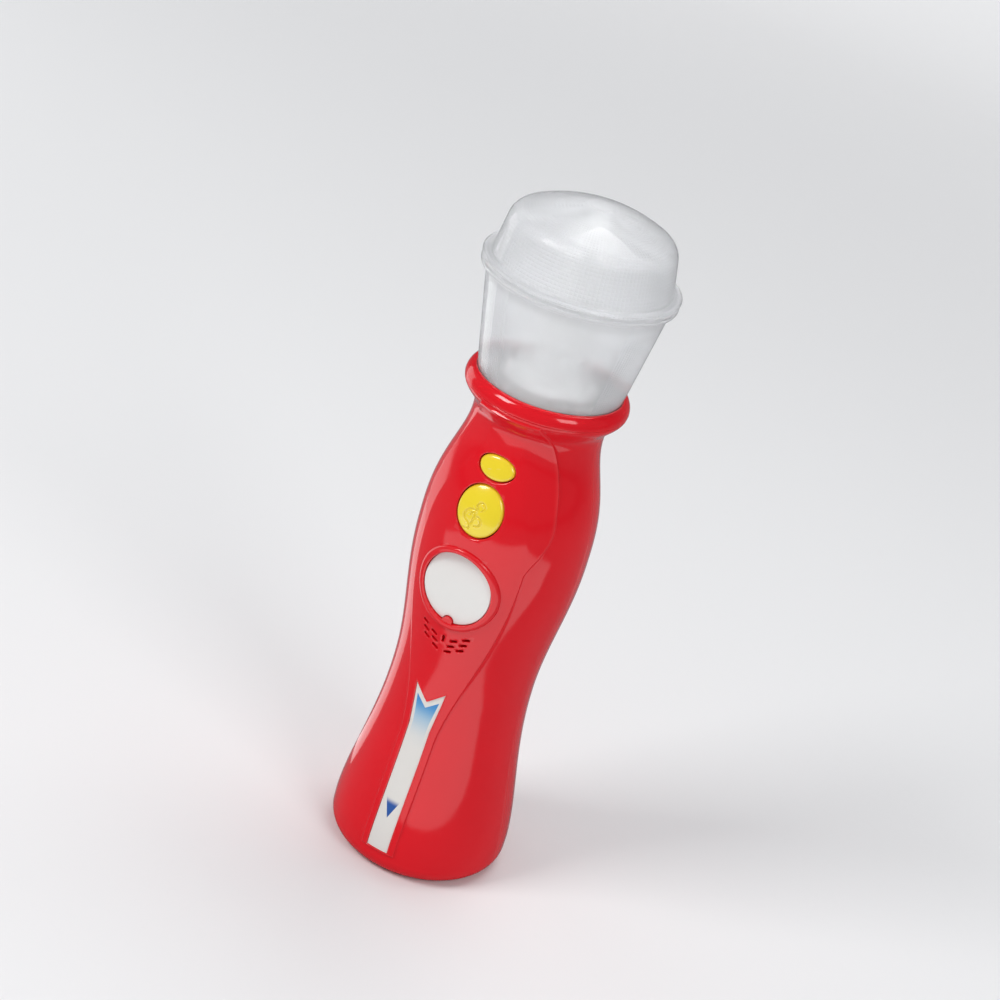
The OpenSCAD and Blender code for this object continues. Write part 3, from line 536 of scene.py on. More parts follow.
class Nodes:
    """Short hand for adding and joining shader nodes in one tree."""

    def __init__(self, tree):
        self.tree = tree

    def add(self, kind, inputs=None, **settings):
        node = self.tree.nodes.new("ShaderNode" + kind)
        for key, value in settings.items():
            setattr(node, key, value)
        self.fill(node, inputs or {})
        return node

    def fill(self, node, inputs):
        for key, value in inputs.items():
            self.set(node.inputs[key], value)

    def set(self, socket, value):
        if isinstance(value, bpy.types.NodeSocket):
            self.tree.links.new(value, socket)
        else:
            socket.default_value = value

    def math(self, operation, a, b=0.0, clamp=False):
        return self.add("Math", {0: a, 1: b}, operation=operation, use_clamp=clamp).outputs[0]

    def times(self, value, *others):
        for other in others:
            value = self.math("MULTIPLY", value, other)
        return value

    def plus(self, a, b, clamp=False):
        return self.math("ADD", a, b, clamp)

    def minus(self, a, b, clamp=False):
        return self.math("SUBTRACT", a, b, clamp)

    def within(self, value, low, high):
        return self.times(self.math("GREATER_THAN", value, low), self.math("LESS_THAN", value, high))

    def mix(self, share, a, b):
        return self.add("Mix", {0: share, 6: a, 7: b}, data_type="RGBA").outputs[2]

    def ramp(self, value, low, high, out_low=0.0, out_high=1.0):
        given = dict(enumerate((value, low, high, out_low, out_high)))
        return self.add("MapRange", given, clamp=True, interpolation_type="SMOOTHSTEP").outputs[0]

    def noise(self, place, scale, detail=2.0, roughness=0.5):
        given = {"Vector": place, "Scale": scale, "Detail": detail, "Roughness": roughness}
        return self.add("TexNoise", given).outputs[0]

    def place(self):
        return self.add("TexCoord").outputs["Object"]

    def split(self, vector):
        return self.add("SeparateXYZ", {"Vector": vector}).outputs

    def length(self, vector):
        return self.add("VectorMath", {"Vector": vector}, operation="LENGTH").outputs["Value"]

    def bump(self, height, distance, strength=1.0, **more):
        given = {"Strength": strength, "Distance": distance, "Height": height, **more}
        return self.add("Bump", given).outputs[0]

    def use(self, group, **inputs):
        """Outputs of a shared effect that is given its own values."""
        node = self.add("Group", node_tree=group)
        self.fill(node, {name.replace("_", " ").title(): value for name, value in inputs.items()})
        return node.outputs


def effect(name, inputs, outputs):
    """Marks the maker of a shader node group, which is built at its first use and then shared."""
    def decorate(make):
        def once():
            group = bpy.data.node_groups.get(name)
            if group is None:
                group = bpy.data.node_groups.new(name, "ShaderNodeTree")
                for title, default in inputs.items():
                    kind = "NodeSocketFloat" if isinstance(default, float) else "NodeSocketColor"
                    socket = group.interface.new_socket(name=title, in_out="INPUT", socket_type=kind)
                    socket.default_value = default
                for title in outputs:
                    kind = "NodeSocketColor" if title == "Colour" else "NodeSocketFloat"
                    group.interface.new_socket(name=title, in_out="OUTPUT", socket_type=kind)
                given, result = (group.nodes.new(end) for end in ("NodeGroupInput", "NodeGroupOutput"))
                nodes = Nodes(group)
                nodes.fill(result, dict(zip(outputs, make(nodes, given.outputs))))
            return group
        return once
    return decorate


GREY = (0.5, 0.5, 0.5, 1)
# Pale cream of convex edges: partly wear, partly a painted highlight where light catches rounded edges.
WORN_AND_LIT_EDGE = (0.9, 0.85, 0.80, 1)


@effect("Moulded Finish",
        {"Colour": GREY, "Mottle": 0.05, "Roughness": 0.2, "Unevenness": 0.06, "Ripple": 0.5, "Grain": 0.0,
         "Edge": 0.12},
        ("Colour", "Roughness", "Height"))
def moulded_finish(nodes, given):
    """Moulded plastic: mottle in the colour, pale edges that are partly wear and partly painted highlight,
    uneven gloss and a faint ripple.
    """
    place = nodes.place()
    cloud = nodes.noise(place, 45.0, 3.0, 0.55)
    fine = nodes.noise(place, 900.0, 2.0, 0.6)
    wave = nodes.noise(place, 130.0, 1.0, 0.4)
    shade = nodes.plus(nodes.times(nodes.minus(cloud, 0.5), given["Mottle"], 2.0), 1.0)
    tinted = nodes.add("VectorMath", {0: given["Colour"], "Scale": shade}, operation="SCALE")
    # Convex edges turn pale cream: partly wear, partly a painted highlight where light catches the rounded
    # edges.
    edge = nodes.ramp(nodes.add("NewGeometry").outputs["Pointiness"], 0.51, 0.55)
    worn_and_lit = nodes.mix(nodes.times(edge, given["Edge"]), tinted.outputs[0], WORN_AND_LIT_EDGE)
    rough = nodes.times(nodes.minus(cloud, 0.5), given["Unevenness"])
    height = nodes.plus(nodes.times(wave, given["Ripple"]), nodes.times(fine, given["Grain"]))
    return worn_and_lit, nodes.plus(given["Roughness"], rough, clamp=True), height


@effect("Polar Relief",
        {"Count Round": 66.0, "Ring Pitch": 0.0013, "Inner Radius": 0.005},
        ("Height", "Mask"))
def polar_relief(nodes, given):
    """Fine pattern of small squares laid out round the upright axis, as on pressed light covers."""
    x, y, z = nodes.split(nodes.place())
    around = nodes.math("ARCTAN2", y, x)
    radius = nodes.math("SQRT", nodes.plus(nodes.times(x, x), nodes.times(y, y)))
    along = nodes.math("DIVIDE", nodes.minus(z, radius), given["Ring Pitch"])
    spokes = nodes.math("ABSOLUTE", nodes.math("SINE", nodes.times(around, given["Count Round"])))
    rings = nodes.math("ABSOLUTE", nodes.math("SINE", nodes.times(along, TURN / 2)))
    wide = nodes.ramp(radius, 0.010, 0.018)
    spokes = nodes.math("MAXIMUM", nodes.minus(1.0, wide), nodes.ramp(spokes, 0.0, 0.9))
    outside = nodes.ramp(radius, given["Inner Radius"], nodes.plus(given["Inner Radius"], 0.0006))
    return nodes.times(spokes, nodes.ramp(rings, 0.0, 0.9), outside), outside


@effect("Painted Hollow Shade", {"Colour": GREY, "Dust": (0.42, 0.38, 0.33, 1), "Amount": 0.12}, ("Colour", "Mask"))
def painted_hollow_shade(nodes, given):
    """Painted shade: darkens the low, hollow places in patches."""
    # Darker colour in concave places, in patches: painted shade where shade falls in hollows and creases.
    low = nodes.ramp(nodes.add("NewGeometry").outputs["Pointiness"], 0.40, 0.48, 1.0, 0.0)
    patch = nodes.ramp(nodes.noise(nodes.place(), 260.0, 4.0, 0.6), 0.35, 0.7)
    mask = nodes.times(low, patch, given["Amount"])
    return nodes.mix(mask, given["Colour"], given["Dust"]), mask


# ---- Finishes --------------------------------------------------------------


def finish(name):
    """Marks the maker of a material, which is built at its first use and then shared."""
    def decorate(make):
        def once():
            if name not in bpy.data.materials:
                material = bpy.data.materials.new(name)
                material.use_nodes = True
                nodes = Nodes(material.node_tree)
                nodes.tree.nodes.clear()
                shader = nodes.add("BsdfPrincipled")
                nodes.add("OutputMaterial", {"Surface": shader.outputs[0]})
                nodes.fill(shader, make(nodes))
            return bpy.data.materials[name]
        return once
    return decorate


def plastic(name, base, roughness, coat=0.0, bump=0.00004, dust=0.12, **look):
    """Moulded plastic of one colour, with painted shade darkening its low places."""
    @finish(name)
    def make(nodes):
        plain = colour(base) if isinstance(base, str) else base
        moulded = nodes.use(moulded_finish(), colour=plain, roughness=roughness, **look)
        # The darkening of low places here is painted shade.
        hollow_shaded = nodes.use(painted_hollow_shade(), colour=moulded["Colour"], amount=dust)
        return {
            "Base Color": hollow_shaded["Colour"], "Roughness": moulded["Roughness"],
            "Coat Weight": coat, "Coat Roughness": 0.05, "Normal": nodes.bump(moulded["Height"], bump)}
    return make()


# The darkening of low places set in each entry is painted shade.
# The edge value sets pale convex edges, which are partly wear and partly painted highlight.
PLASTICS = {
    "red_plastic": dict(name="Red Plastic", base="red", roughness=0.10, ripple=0.8, bump=0.00003,
                        unevenness=0.04, edge=0.03),
    "yellow_plastic": dict(name="Yellow Plastic", base="yellow", roughness=0.20, coat=0.5, ripple=0.7,
                           edge=0.15, dust=0.5),
    "white_plastic": dict(name="White Plastic", base="white", roughness=0.34, mottle=0.03, ripple=0.3,
                          grain=0.2),
    "tower_plastic": dict(name="Tower Plastic", base=(0.92, 0.92, 0.90, 1), roughness=0.45, mottle=0.03,
                          grain=0.2, dust=0.0),
    "black_plastic": dict(name="Black Plastic", base=(0.018, 0.018, 0.020, 1), roughness=0.45, mottle=0.2,
                          grain=0.6),
    "rubber": dict(name="Grey Rubber", base=(0.10, 0.105, 0.11, 1), roughness=0.7, mottle=0.15, grain=0.9,
                   dust=0.3),
    "yellow_wire": dict(name="Yellow Wire", base=(0.72, 0.48, 0.02, 1), roughness=0.4, mottle=0.08,
                        grain=0.3),
    "black_wire": dict(name="Black Wire", base=(0.02, 0.02, 0.022, 1), roughness=0.4, mottle=0.08, grain=0.3),
    "red_wire": dict(name="Red Wire", base=(0.50, 0.02, 0.02, 1), roughness=0.4, mottle=0.08, grain=0.3),
}


def frosted_plastic(name, pressed):
    """Milky see-through plastic, with or without a fine pressed pattern."""
    @finish(name)
    def make(nodes):
        moulded = nodes.use(moulded_finish(), colour=colour("frost"), mottle=0.02, roughness=0.165,
                            unevenness=0.05, ripple=0.3, grain=0.1)
        relief = nodes.bump(moulded["Height"], 0.00004)
        if pressed:
            relief = nodes.bump(nodes.use(polar_relief())["Height"], 0.0001, Normal=relief)
        return {
            "Base Color": moulded["Colour"], "Roughness": moulded["Roughness"], "Transmission Weight": 0.74,
            "IOR": 1.18, "Coat Weight": 0.3, "Coat Roughness": 0.06, "Normal": relief}
    return make()


@finish("Steel")
def steel(nodes):
    """Pressed steel with fine brushing."""
    place = nodes.place()
    stretched = nodes.add("Mapping", {"Vector": place, "Scale": (300.0, 4000.0, 1500.0)})
    brushed = nodes.noise(stretched.outputs[0], 1.0, 3.0)
    blotch = nodes.ramp(nodes.noise(place, 240.0, 3.0), 0.4, 0.7)
    return {
        "Base Color": nodes.mix(blotch, (0.62, 0.62, 0.61, 1), (0.50, 0.49, 0.47, 1)),
        "Roughness": nodes.ramp(brushed, 0.3, 0.7, 0.22, 0.38),
        "Metallic": 1.0, "Normal": nodes.bump(brushed, 0.00001, 0.6)}


@finish("Circuit Board")
def circuit_board(nodes):
    """Green board with copper tracks under its lacquer and a fine weave."""
    x, _, z = nodes.split(nodes.place())

    def wave(value, pitch):
        return nodes.math("SINE", nodes.times(value, pitch))

    steps = nodes.math("SINE", nodes.plus(nodes.times(z, 420.0), nodes.times(x, 900.0)))
    tracks = nodes.times(nodes.ramp(wave(x, 3100.0), 0.1, 0.4), nodes.ramp(steps, -0.1, 0.0))
    weave = nodes.times(wave(x, 9000.0), wave(z, 9000.0))
    base = nodes.mix(tracks, (0.010, 0.115, 0.040, 1), (0.035, 0.24, 0.075, 1))
    return {
        "Base Color": nodes.mix(nodes.ramp(weave, -1, 1, 0.0, 0.12), base, (0.3, 0.4, 0.2, 1)),
        "Roughness": nodes.ramp(weave, -1, 1, 0.32, 0.42), "Normal": nodes.bump(tracks, 0.00004, 0.8)}


@finish("Lamp Lens")
def lamp_plastic(nodes):
    """Clear lens of a small lamp, milky in its middle."""
    cloud = nodes.noise(nodes.place(), 700.0)
    return {
        "Base Color": nodes.mix(cloud, (0.86, 0.87, 0.84, 1), (0.93, 0.93, 0.90, 1)),
        "Roughness": nodes.ramp(cloud, 0.3, 0.7, 0.08, 0.16), "Transmission Weight": 0.7, "IOR": 1.5}


@finish("Cone Paper")
def cone_paper(nodes):
    """Dark pressed paper of the speaker cone, with fibres."""
    place = nodes.place()
    fibres = nodes.add("TexVoronoi", {"Vector": place, "Scale": 1800.0}).outputs["Distance"]
    cloud = nodes.noise(place, 300.0, 4.0)
    return {
        "Base Color": nodes.mix(cloud, (0.012, 0.011, 0.011, 1), (0.035, 0.032, 0.030, 1)),
        "Roughness": nodes.ramp(cloud, 0.3, 0.7, 0.8, 0.95), "Normal": nodes.bump(fibres, 0.00005, 0.7)}


CELL_BAND = 0.0115  # from the middle of a cell up to its coloured band


@finish("Cell Sleeve")
def cell_sleeve(nodes):
    """Battery cell: a dark sleeve with a copper-coloured upper band and bare steel ends."""
    place = nodes.place()
    x, _, z = nodes.split(place)
    way = nodes.minus(1.0, nodes.times(nodes.math("GREATER_THAN", x, 0.0), 2.0))
    along = nodes.times(nodes.minus(z, 0.5 * (BAY_LOW[2] + BAY_HIGH[2]) * MM), way)
    copper = nodes.ramp(along, CELL_BAND, CELL_BAND + 0.0002)
    upright = nodes.split(nodes.add("NewGeometry").outputs["Normal"])[2]
    flat = nodes.ramp(nodes.math("ABSOLUTE", upright), 0.7, 0.8)
    cloud = nodes.noise(place, 200.0, 3.0)
    sleeve = nodes.mix(copper, (0.014, 0.015, 0.018, 1), (0.52, 0.20, 0.07, 1))
    base = nodes.mix(flat, sleeve, (0.58, 0.57, 0.55, 1))
    return {
        "Base Color": nodes.mix(nodes.ramp(cloud, 0.4, 0.8, 0.0, 0.12), base, (0.3, 0.3, 0.3, 1)),
        "Metallic": nodes.math("MAXIMUM", flat, nodes.times(copper, 0.8)),
        "Roughness": nodes.ramp(cloud, 0.3, 0.7, 0.22, 0.34)}


# Sizes of the ribbon's print, in metres: the blue swallowtail at its top, its notch and its
# fade into white, and the small triangle near its foot.
TAIL_HALF, TAIL_SPREAD, TAIL_SPREAD_H = 0.0027, 0.0015, 0.0145
TAIL_NOTCH, TAIL_NOTCH_SLOPE = 0.0071, 0.88
TAIL_FADE = (0.0185, 0.0065)
TIP_Z, TIP_SLOPE, TIP_FADE = 0.0208, 2.7, (0.0255, 0.0278)


@finish("Ribbon Print")
def label_print(nodes):
    """Ribbon label: a blue swallowtail that fades into white and a small deep-blue triangle."""
    x, _, z = nodes.split(nodes.place())
    across = nodes.math("ABSOLUTE", x)
    top = RIBBON_HIGH[2] * MM
    spread = nodes.ramp(z, top - TAIL_SPREAD_H, top, 0.0, TAIL_SPREAD)
    edge = nodes.minus(nodes.plus(spread, TAIL_HALF), across)
    fork = nodes.minus(nodes.plus(top - TAIL_NOTCH, nodes.times(across, TAIL_NOTCH_SLOPE)), z)
    inside = nodes.times(nodes.ramp(edge, -0.00006, 0.00006), nodes.ramp(fork, -0.00006, 0.00006))
    fade = nodes.ramp(z, top - TAIL_FADE[0], top - TAIL_FADE[1])
    swallow = nodes.times(inside, nodes.math("POWER", fade, 1.1))
    slope = nodes.minus(nodes.minus(z, TIP_Z), nodes.times(across, TIP_SLOPE))
    tip = nodes.times(nodes.ramp(slope, -0.0001, 0.0001), nodes.ramp(z, *TIP_FADE, 1.0, 0.0))
    grey = nodes.times(inside, nodes.ramp(z, 0.045, top - 0.012, 0.0, 0.35))
    ground = nodes.mix(grey, colour("label_white"), (0.50, 0.62, 0.70, 1))
    blue = nodes.mix(nodes.ramp(z, top - 0.012, top - 0.004), (0.22, 0.47, 0.68, 1), colour("label_blue"))
    printed = nodes.mix(tip, nodes.mix(swallow, ground, blue), colour("label_deep_blue"))
    moulded = nodes.use(moulded_finish(), colour=printed, mottle=0.05, roughness=0.38, unevenness=0.1,
                            ripple=0.3, grain=0.4)
    return {
        "Base Color": moulded["Colour"], "Roughness": moulded["Roughness"],
        "Normal": nodes.bump(moulded["Height"], 0.00003)}


FINISHES = {
    "printed_label": label_print, "board": circuit_board, "lamp": lamp_plastic, "cone_paper": cone_paper,
    "steel": steel, "cell": cell_sleeve,
}


def slot_finish(slot):
    """Material of one of the record's slots."""
    return plastic(**PLASTICS[slot]) if slot in PLASTICS else FINISHES[slot]()


# ---- Handle ----------------------------------------------------------------

SEAM_W = 0.25
MIDDLE_COLUMNS, FACET_COLUMNS, STEP_COLUMNS, SIDE_COLUMNS, BACK_COLUMNS = 14, 8, 4, 26, 44
RING_W = (2.7, 2.16)
RING_TOP = 1.2
RING_SECTION = (  # share of the way in, and rise
    (0.0, 0.1), (0.03, 0.55), (0.10, 0.85), (0.20, 1.05), (0.35, 1.17), (0.50, RING_TOP),
    (0.70, RING_TOP), (0.85, 1.17), (0.94, 1.08), (0.985, 0.93), (1.03, 0.7))
RING_LIFT, RING_FLOOR_Y = 1.3, 20.2
NOTCH_R, NOTCH_CLEAR, NOTCH_LIFT = 1.9, 0.12, 0.17
RECESS_GAP, RECESS_DEPTHS = 0.2, (25.2, 26.5)
PLATE_Z = 0.5 * (PLATE_LOW[2] + PLATE_HIGH[2])
PLATE_HALF = (PLATE_HIGH[0], 0.5 * (PLATE_HIGH[2] - PLATE_LOW[2]) + 0.01)
SLOT_COLUMNS = ((7.15, 3.5), (3.45, 1.5))
SLOT_ROWS, SLOT_PITCH, SLOT_DRIFT = 3, 2.3, 0.62
SLOT_LIP, SLOT_DEEP_Y = 0.1, 18.0
SPEAKER_Z = 0.5 * (SPEAKER_LOW[2] + SPEAKER_HIGH[2])
HOLE_LIP, HOLE_DEEP_Y = 0.3, 15.0
RIBBON_NECK_HALF, RIBBON_SPREAD, RIBBON_FORK = 3.7, 14.5, 4.9
RIBBON_GAP, RIBBON_SEAT, RIBBON_FACE = 0.1, 0.02, 0.27
BEAD_R, BEAD_GROW, BEAD_SINK = 0.26, 0.28, 0.12
WELL_R, WELL_WALL, WELL_CLEAR, WELL_SEAT_Y = 3.1, 1.1, 0.4, 5.0
WELL_LIP = ((0.0, -0.3), (0.05, -0.12), (0.16, -0.02), (0.4, 0.15))  # spread and rise
POST_START_Y, POST_SINK = 0.6, 1.0
SCREW_HEIGHTS = (22.0, 102.5, 140.5)
SEAM = math.radians(90)  # angle from the front, or from the back, to the seam between the shells


def front_row(row):
    """Angles from the front and rises of one row of the front shell, from the middle to the seam."""
    r, z = row[0], row[1]
    level = min(max(z, PANEL_LOW_Z), PANEL_TOP_Z)
    base = max(r, handle_radius(PANEL_LOW_Z)) if z < PANEL_LOW_Z else r
    crease = math.asin(crease_x(level) / base)
    edge = math.asin(border_x(level) / base)
    step = edge + PANEL_STEP / base
    middle_rise, edge_rise = panel_heights(level)
    sink = FACET_FLATNESS * base * (1 - math.cos((edge - crease) / 2))
    share = clamp((z - PANEL_LOW_Z) / PANEL_LOW_EASE)
    share *= clamp((PANEL_TOP_Z + PANEL_TOP_EASE - z) / PANEL_TOP_EASE)
    side = SEAM - seam_groove(r) - step
    found = [(crease * i / MIDDLE_COLUMNS, middle_rise) for i in range(MIDDLE_COLUMNS + 1)]
    for across in (i / FACET_COLUMNS for i in range(1, FACET_COLUMNS + 1)):
        found.append((crease + (edge - crease) * across,
                      middle_rise + (edge_rise - middle_rise) * across - sink * 4 * across * (1 - across)))
    found += [(edge + (step - edge) * i / STEP_COLUMNS, edge_rise * (1 - ease(i / STEP_COLUMNS)))
              for i in range(1, STEP_COLUMNS + 1)]
    found += [(step + side * i / SIDE_COLUMNS, 0.0) for i in range(1, SIDE_COLUMNS + 1)]
    return [(a, rise * share) for a, rise in found] + [(SEAM, -SEAM_W if r else 0.0)]


def back_row(row):
    start = SEAM - seam_groove(row[0])
    return ([(start * i / BACK_COLUMNS, 0.0) for i in range(BACK_COLUMNS + 1)]
            + [(SEAM, -SEAM_W if row[0] else 0.0)])


def seam_groove(r):
    return SEAM_W / max(r, 4.0)


def shell_body(name, side, spread):
    """Half of the hollow handle: spread gives each row's angles and rises."""
    outer, inner = [], []
    for row in outline_rows():
        r, z, nr, nz, ri, zi = row
        half = spread(row)
        both = [(-a, rise) for a, rise in reversed(half[1:])] + half
        outer.append([((r + nr * rise) * math.sin(a), side * (r + nr * rise) * math.cos(a), z + nz * rise)
                      for a, rise in both])
        inner.append([(ri * math.sin(a), side * ri * math.cos(a), zi) for a, _ in both])
    return thick_sheet(name, outer, inner)


def plate_outline(gap):
    """Outline of the round plate with the half-round notch in its lower edge."""
    half_w, half_h = PLATE_HALF[0] + gap, PLATE_HALF[1] + gap
    radius, centre_z = NOTCH_R - gap, PLATE_Z - PLATE_HALF[1]
    rim = arc(0.0, 0.0, 1.0, -90, 270, 180)
    points = [(x * half_w, PLATE_Z + z * half_h) for x, z in rim]
    points = [(x, z) for x, z in points if math.hypot(x, z - centre_z) > radius + NOTCH_CLEAR]
    low = math.degrees(math.asin(min(0.9, NOTCH_LIFT / radius - gap / radius)))
    return points + arc(0.0, centre_z, radius, 180 - low, low, 16)


def ring_body():
    """Bead round the plate with a floor under it, before the plate's recess is cut."""
    def outline(share):
        grow = [RECESS_GAP + (width - RECESS_GAP) * (1 - share) for width in RING_W]
        return ellipse(PLATE_HALF[0] + grow[0], PLATE_HALF[1] + grow[1], PLATE_Z, 144)

    rings = [[(x, -RING_FLOOR_Y, z) for x, z in outline(0.0)]]
    for share, rise in RING_SECTION:
        lift = size("ring_rise") / RING_TOP * rise * RING_LIFT
        rings.append([surface_point(x, z, FRONT, lift) for x, z in outline(share)])
    return loft("ring", rings, (0.0, -RING_FLOOR_Y, PLATE_Z), (0.0, PLATE_LOW[1] - 0.4, PLATE_Z))


def slot_outline(x, z, tilt):
    half, end = (size("slot_length") - size("slot_width")) / 2, size("slot_width") / 2
    points = arc(half, 0.0, end, -90, 90, 8) + arc(-half, 0.0, end, 90, 270, 8)
    c, s = math.cos(tilt), math.sin(tilt)
    return [(x + px * c - pz * s, z + px * s + pz * c) for px, pz in points]


def sound_slot_tools():
    places = [(0.0, SPEAKER_Z + 1.0, math.radians(90))]
    for side in (-1, 1):
        for column, top in SLOT_COLUMNS:
            places += [(side * (column - SLOT_DRIFT * row), SPEAKER_Z + top - SLOT_PITCH * row,
                        side * setting("slot_slope")) for row in range(SLOT_ROWS)]
    return [surface_tool("slot", slot_outline(*place), FRONT, SLOT_DEEP_Y, SLOT_LIP, front_radius)
            for place in places]


def ribbon_sheet(rise, grow, rows=60, columns=12):
    """Grid over the ribbon's outline, at a rise above the handle's own surface."""
    half, tip = RIBBON_NECK_HALF + grow, RIBBON_HIGH[0] + grow * 1.2
    low, top = RIBBON_LOW[2] - grow, RIBBON_HIGH[2] + grow * 2.0
    spread_from = RIBBON_HIGH[2] - RIBBON_SPREAD
    sheet = []
    for i in range(rows + 1):
        spread = max(0.0, over(spread_from, top, low + (top - low) * i / rows))
        line = []
        for across in (-1 + 2 * j / columns for j in range(columns + 1)):
            height = top - (RIBBON_FORK + grow) * (1 - abs(across))
            line.append(surface_point(across * (half + (tip - half) * spread),
                                      low + (height - low) * i / rows, FRONT, rise))
        sheet.append(line)
    return sheet


def ribbon_bead(sides=10):
    """Thin raised bead round the ribbon's recess."""
    sheet = ribbon_sheet(size("panel_rise") - BEAD_SINK, BEAD_GROW)
    loop = sheet[0] + [row[-1] for row in sheet[1:]] + sheet[-1][-2::-1] + [row[0] for row in sheet[-2:0:-1]]
    points = [np.array(p, float) for p in loop]
    rings = []
    for i, p in enumerate(points):
        way = points[(i + 1) % len(points)] - points[i - 1]
        way /= np.linalg.norm(way)
        out = np.array((p[0], p[1], 0.0))
        out /= np.linalg.norm(out)
        across = np.cross(way, out)
        across /= np.linalg.norm(across)
        rings += [tuple(p + BEAD_R * (math.cos(TURN * k / sides) * across + math.sin(TURN * k / sides) * out))
                  for k in range(sides)]
    faces = grid_faces(len(points), sides, closed=True) + closing_faces(len(points), sides)
    return new_piece("bead", rings, faces)


class TOYMIC_OT_front_shell(bpy.types.Operator):
    """Build the front shell with its panel, ring, recesses and sound slots"""

    bl_idname = "toy_microphone.front_shell"
    bl_label = "Front Shell"

    def execute(self, context):
        shell = shell_body("handle_front", FRONT, front_row)
        combine(shell, ring_body(), "UNION")
        depths = [FRONT * y for y in (-PLATE_HIGH[1], *RECESS_DEPTHS, BEYOND)]
        tips = [(0.0, y, PLATE_Z) for y in (depths[0], depths[-1])]
        combine(shell, prism("recess", plate_outline(RECESS_GAP), depths, *tips), "DIFFERENCE")
        combine(shell, ribbon_bead(), "UNION")
        recess = thick_sheet("recess", ribbon_sheet(3.0, RIBBON_GAP), ribbon_sheet(0.0, RIBBON_GAP))
        combine(shell, recess, "DIFFERENCE")
        for node in ("small_button", "large_button"):
            half_w, half_h, z = button_size(node)
            outline = ellipse(half_w + size("button_gap"), half_h + size("button_gap"), z)
            hole = surface_tool("hole", outline, FRONT, HOLE_DEEP_Y, HOLE_LIP, front_radius)
            combine(shell, hole, "DIFFERENCE")
        combine(shell, merged("slots", sound_slot_tools()), "DIFFERENCE")
        settle(shell, "handle", "red_plastic", "front_shell")
        return {"FINISHED"}


DOOR_EAR_HALF, DOOR_EAR_H = 7.0, 6.5
DOOR_MAIN = (DOOR_LOW[2] + DOOR_EAR_H, DOOR_HIGH[2] - DOOR_EAR_H)
DOOR_GAP, DOOR_WALL, DOOR_CORNER, DOOR_LIP = 0.3, 2.0, 1.2, 0.3
DOOR_SCREW_Z = (DOOR_MAIN[0] - 2.2, DOOR_MAIN[1] + 2.2)
DOOR_HEAD_R, DOOR_HEAD_T, DOOR_HEAD_SINK, DOOR_HEAD_GAP, DOOR_SHANK = 2.6, 1.6, 0.3, 0.3, 8.0
DOOR_HEAD_LIP = ((0.0, -0.25), (0.05, -0.1), (0.15, -0.01), (0.4, 0.2))  # spread and rise
OPENING_DEEP_Y, DOOR_DEEP_Y = 10.0, 8.0
RIDGE_COUNT, RIDGE_PITCH, RIDGE_START, RIDGE_HALF, RIDGE_SINK = 6, 2.3, 6.0, 6.5, 0.18
RIDGE_END_R, RIDGE_SWELL_R = 0.25, 0.35


def door_outline(gap=0.0):
    """Outline of the door: a rectangle with an ear at its top and at its foot."""
    half, ear = DOOR_HIGH[0], DOOR_EAR_HALF
    right = [(ear, DOOR_LOW[2]), (ear, DOOR_MAIN[0]), (half, DOOR_MAIN[0]), (half, DOOR_MAIN[1]),
             (ear, DOOR_MAIN[1]), (ear, DOOR_HIGH[2])]
    left = [(-x, z) for x, z in reversed(right)]
    rounded = rounded_outline(left[3:] + right + left[:3], DOOR_CORNER, 5)
    fine = []
    for here, there in zip(rounded, rounded[1:] + rounded[:1]):
        fine += between(here, there, max(1, int(math.dist(here, there) / 1.2)), 0)
    return offset_outline(fine, gap)


def screw_places():
    """Middle of each shell screw, seen from the back."""
    inset = size("shell_wall") + WELL_R + WELL_WALL + WELL_CLEAR
    return [(side * (handle_radius(z) - inset), z) for z in SCREW_HEIGHTS for side in (-1, 1)]


def well_tool(x, z, radius, seat_y, lip):
    """Round tool from the back down to the seat of a screw, with a small lip at the surface."""
    outline = circle(radius, z, 40, x)
    rings = [[(px, seat_y, pz) for px, pz in outline]]
    for spread, rise in lip:
        ring = offset_outline(outline, spread)
        rings.append([surface_point(px, pz, BACK, rise) for px, pz in ring])
    rings.append([(px, BEYOND, pz) for px, pz in ring])
    return loft("well", rings, (x, seat_y, z), (x, BEYOND, z))


class TOYMIC_OT_back_shell(bpy.types.Operator):
    """Build the back shell with its screw wells and the opening for the door"""

    bl_idname = "toy_microphone.back_shell"
    bl_label = "Back Shell"

    def execute(self, context):
        shell = shell_body("handle_back", BACK, back_row)
        for x, z in screw_places():
            outline = circle(WELL_R + WELL_WALL, z, 40, x)
            rings = [[(px, POST_START_Y, pz) for px, pz in outline],
                     [surface_point(px, pz, BACK, -POST_SINK) for px, pz in outline]]
            combine(shell, loft("post", rings, (x, POST_START_Y, z), surface_point(x, z, BACK, -POST_SINK)),
                    "UNION")
        for x, z in screw_places():
            combine(shell, well_tool(x, z, WELL_R, WELL_SEAT_Y, WELL_LIP), "DIFFERENCE")
        opening = surface_tool("opening", door_outline(DOOR_GAP), BACK, OPENING_DEEP_Y, DOOR_LIP)
        combine(shell, opening, "DIFFERENCE")
        settle(shell, "handle", "red_plastic", "back_shell")
        return {"FINISHED"}


# ---- Collar and head -------------------------------------------------------

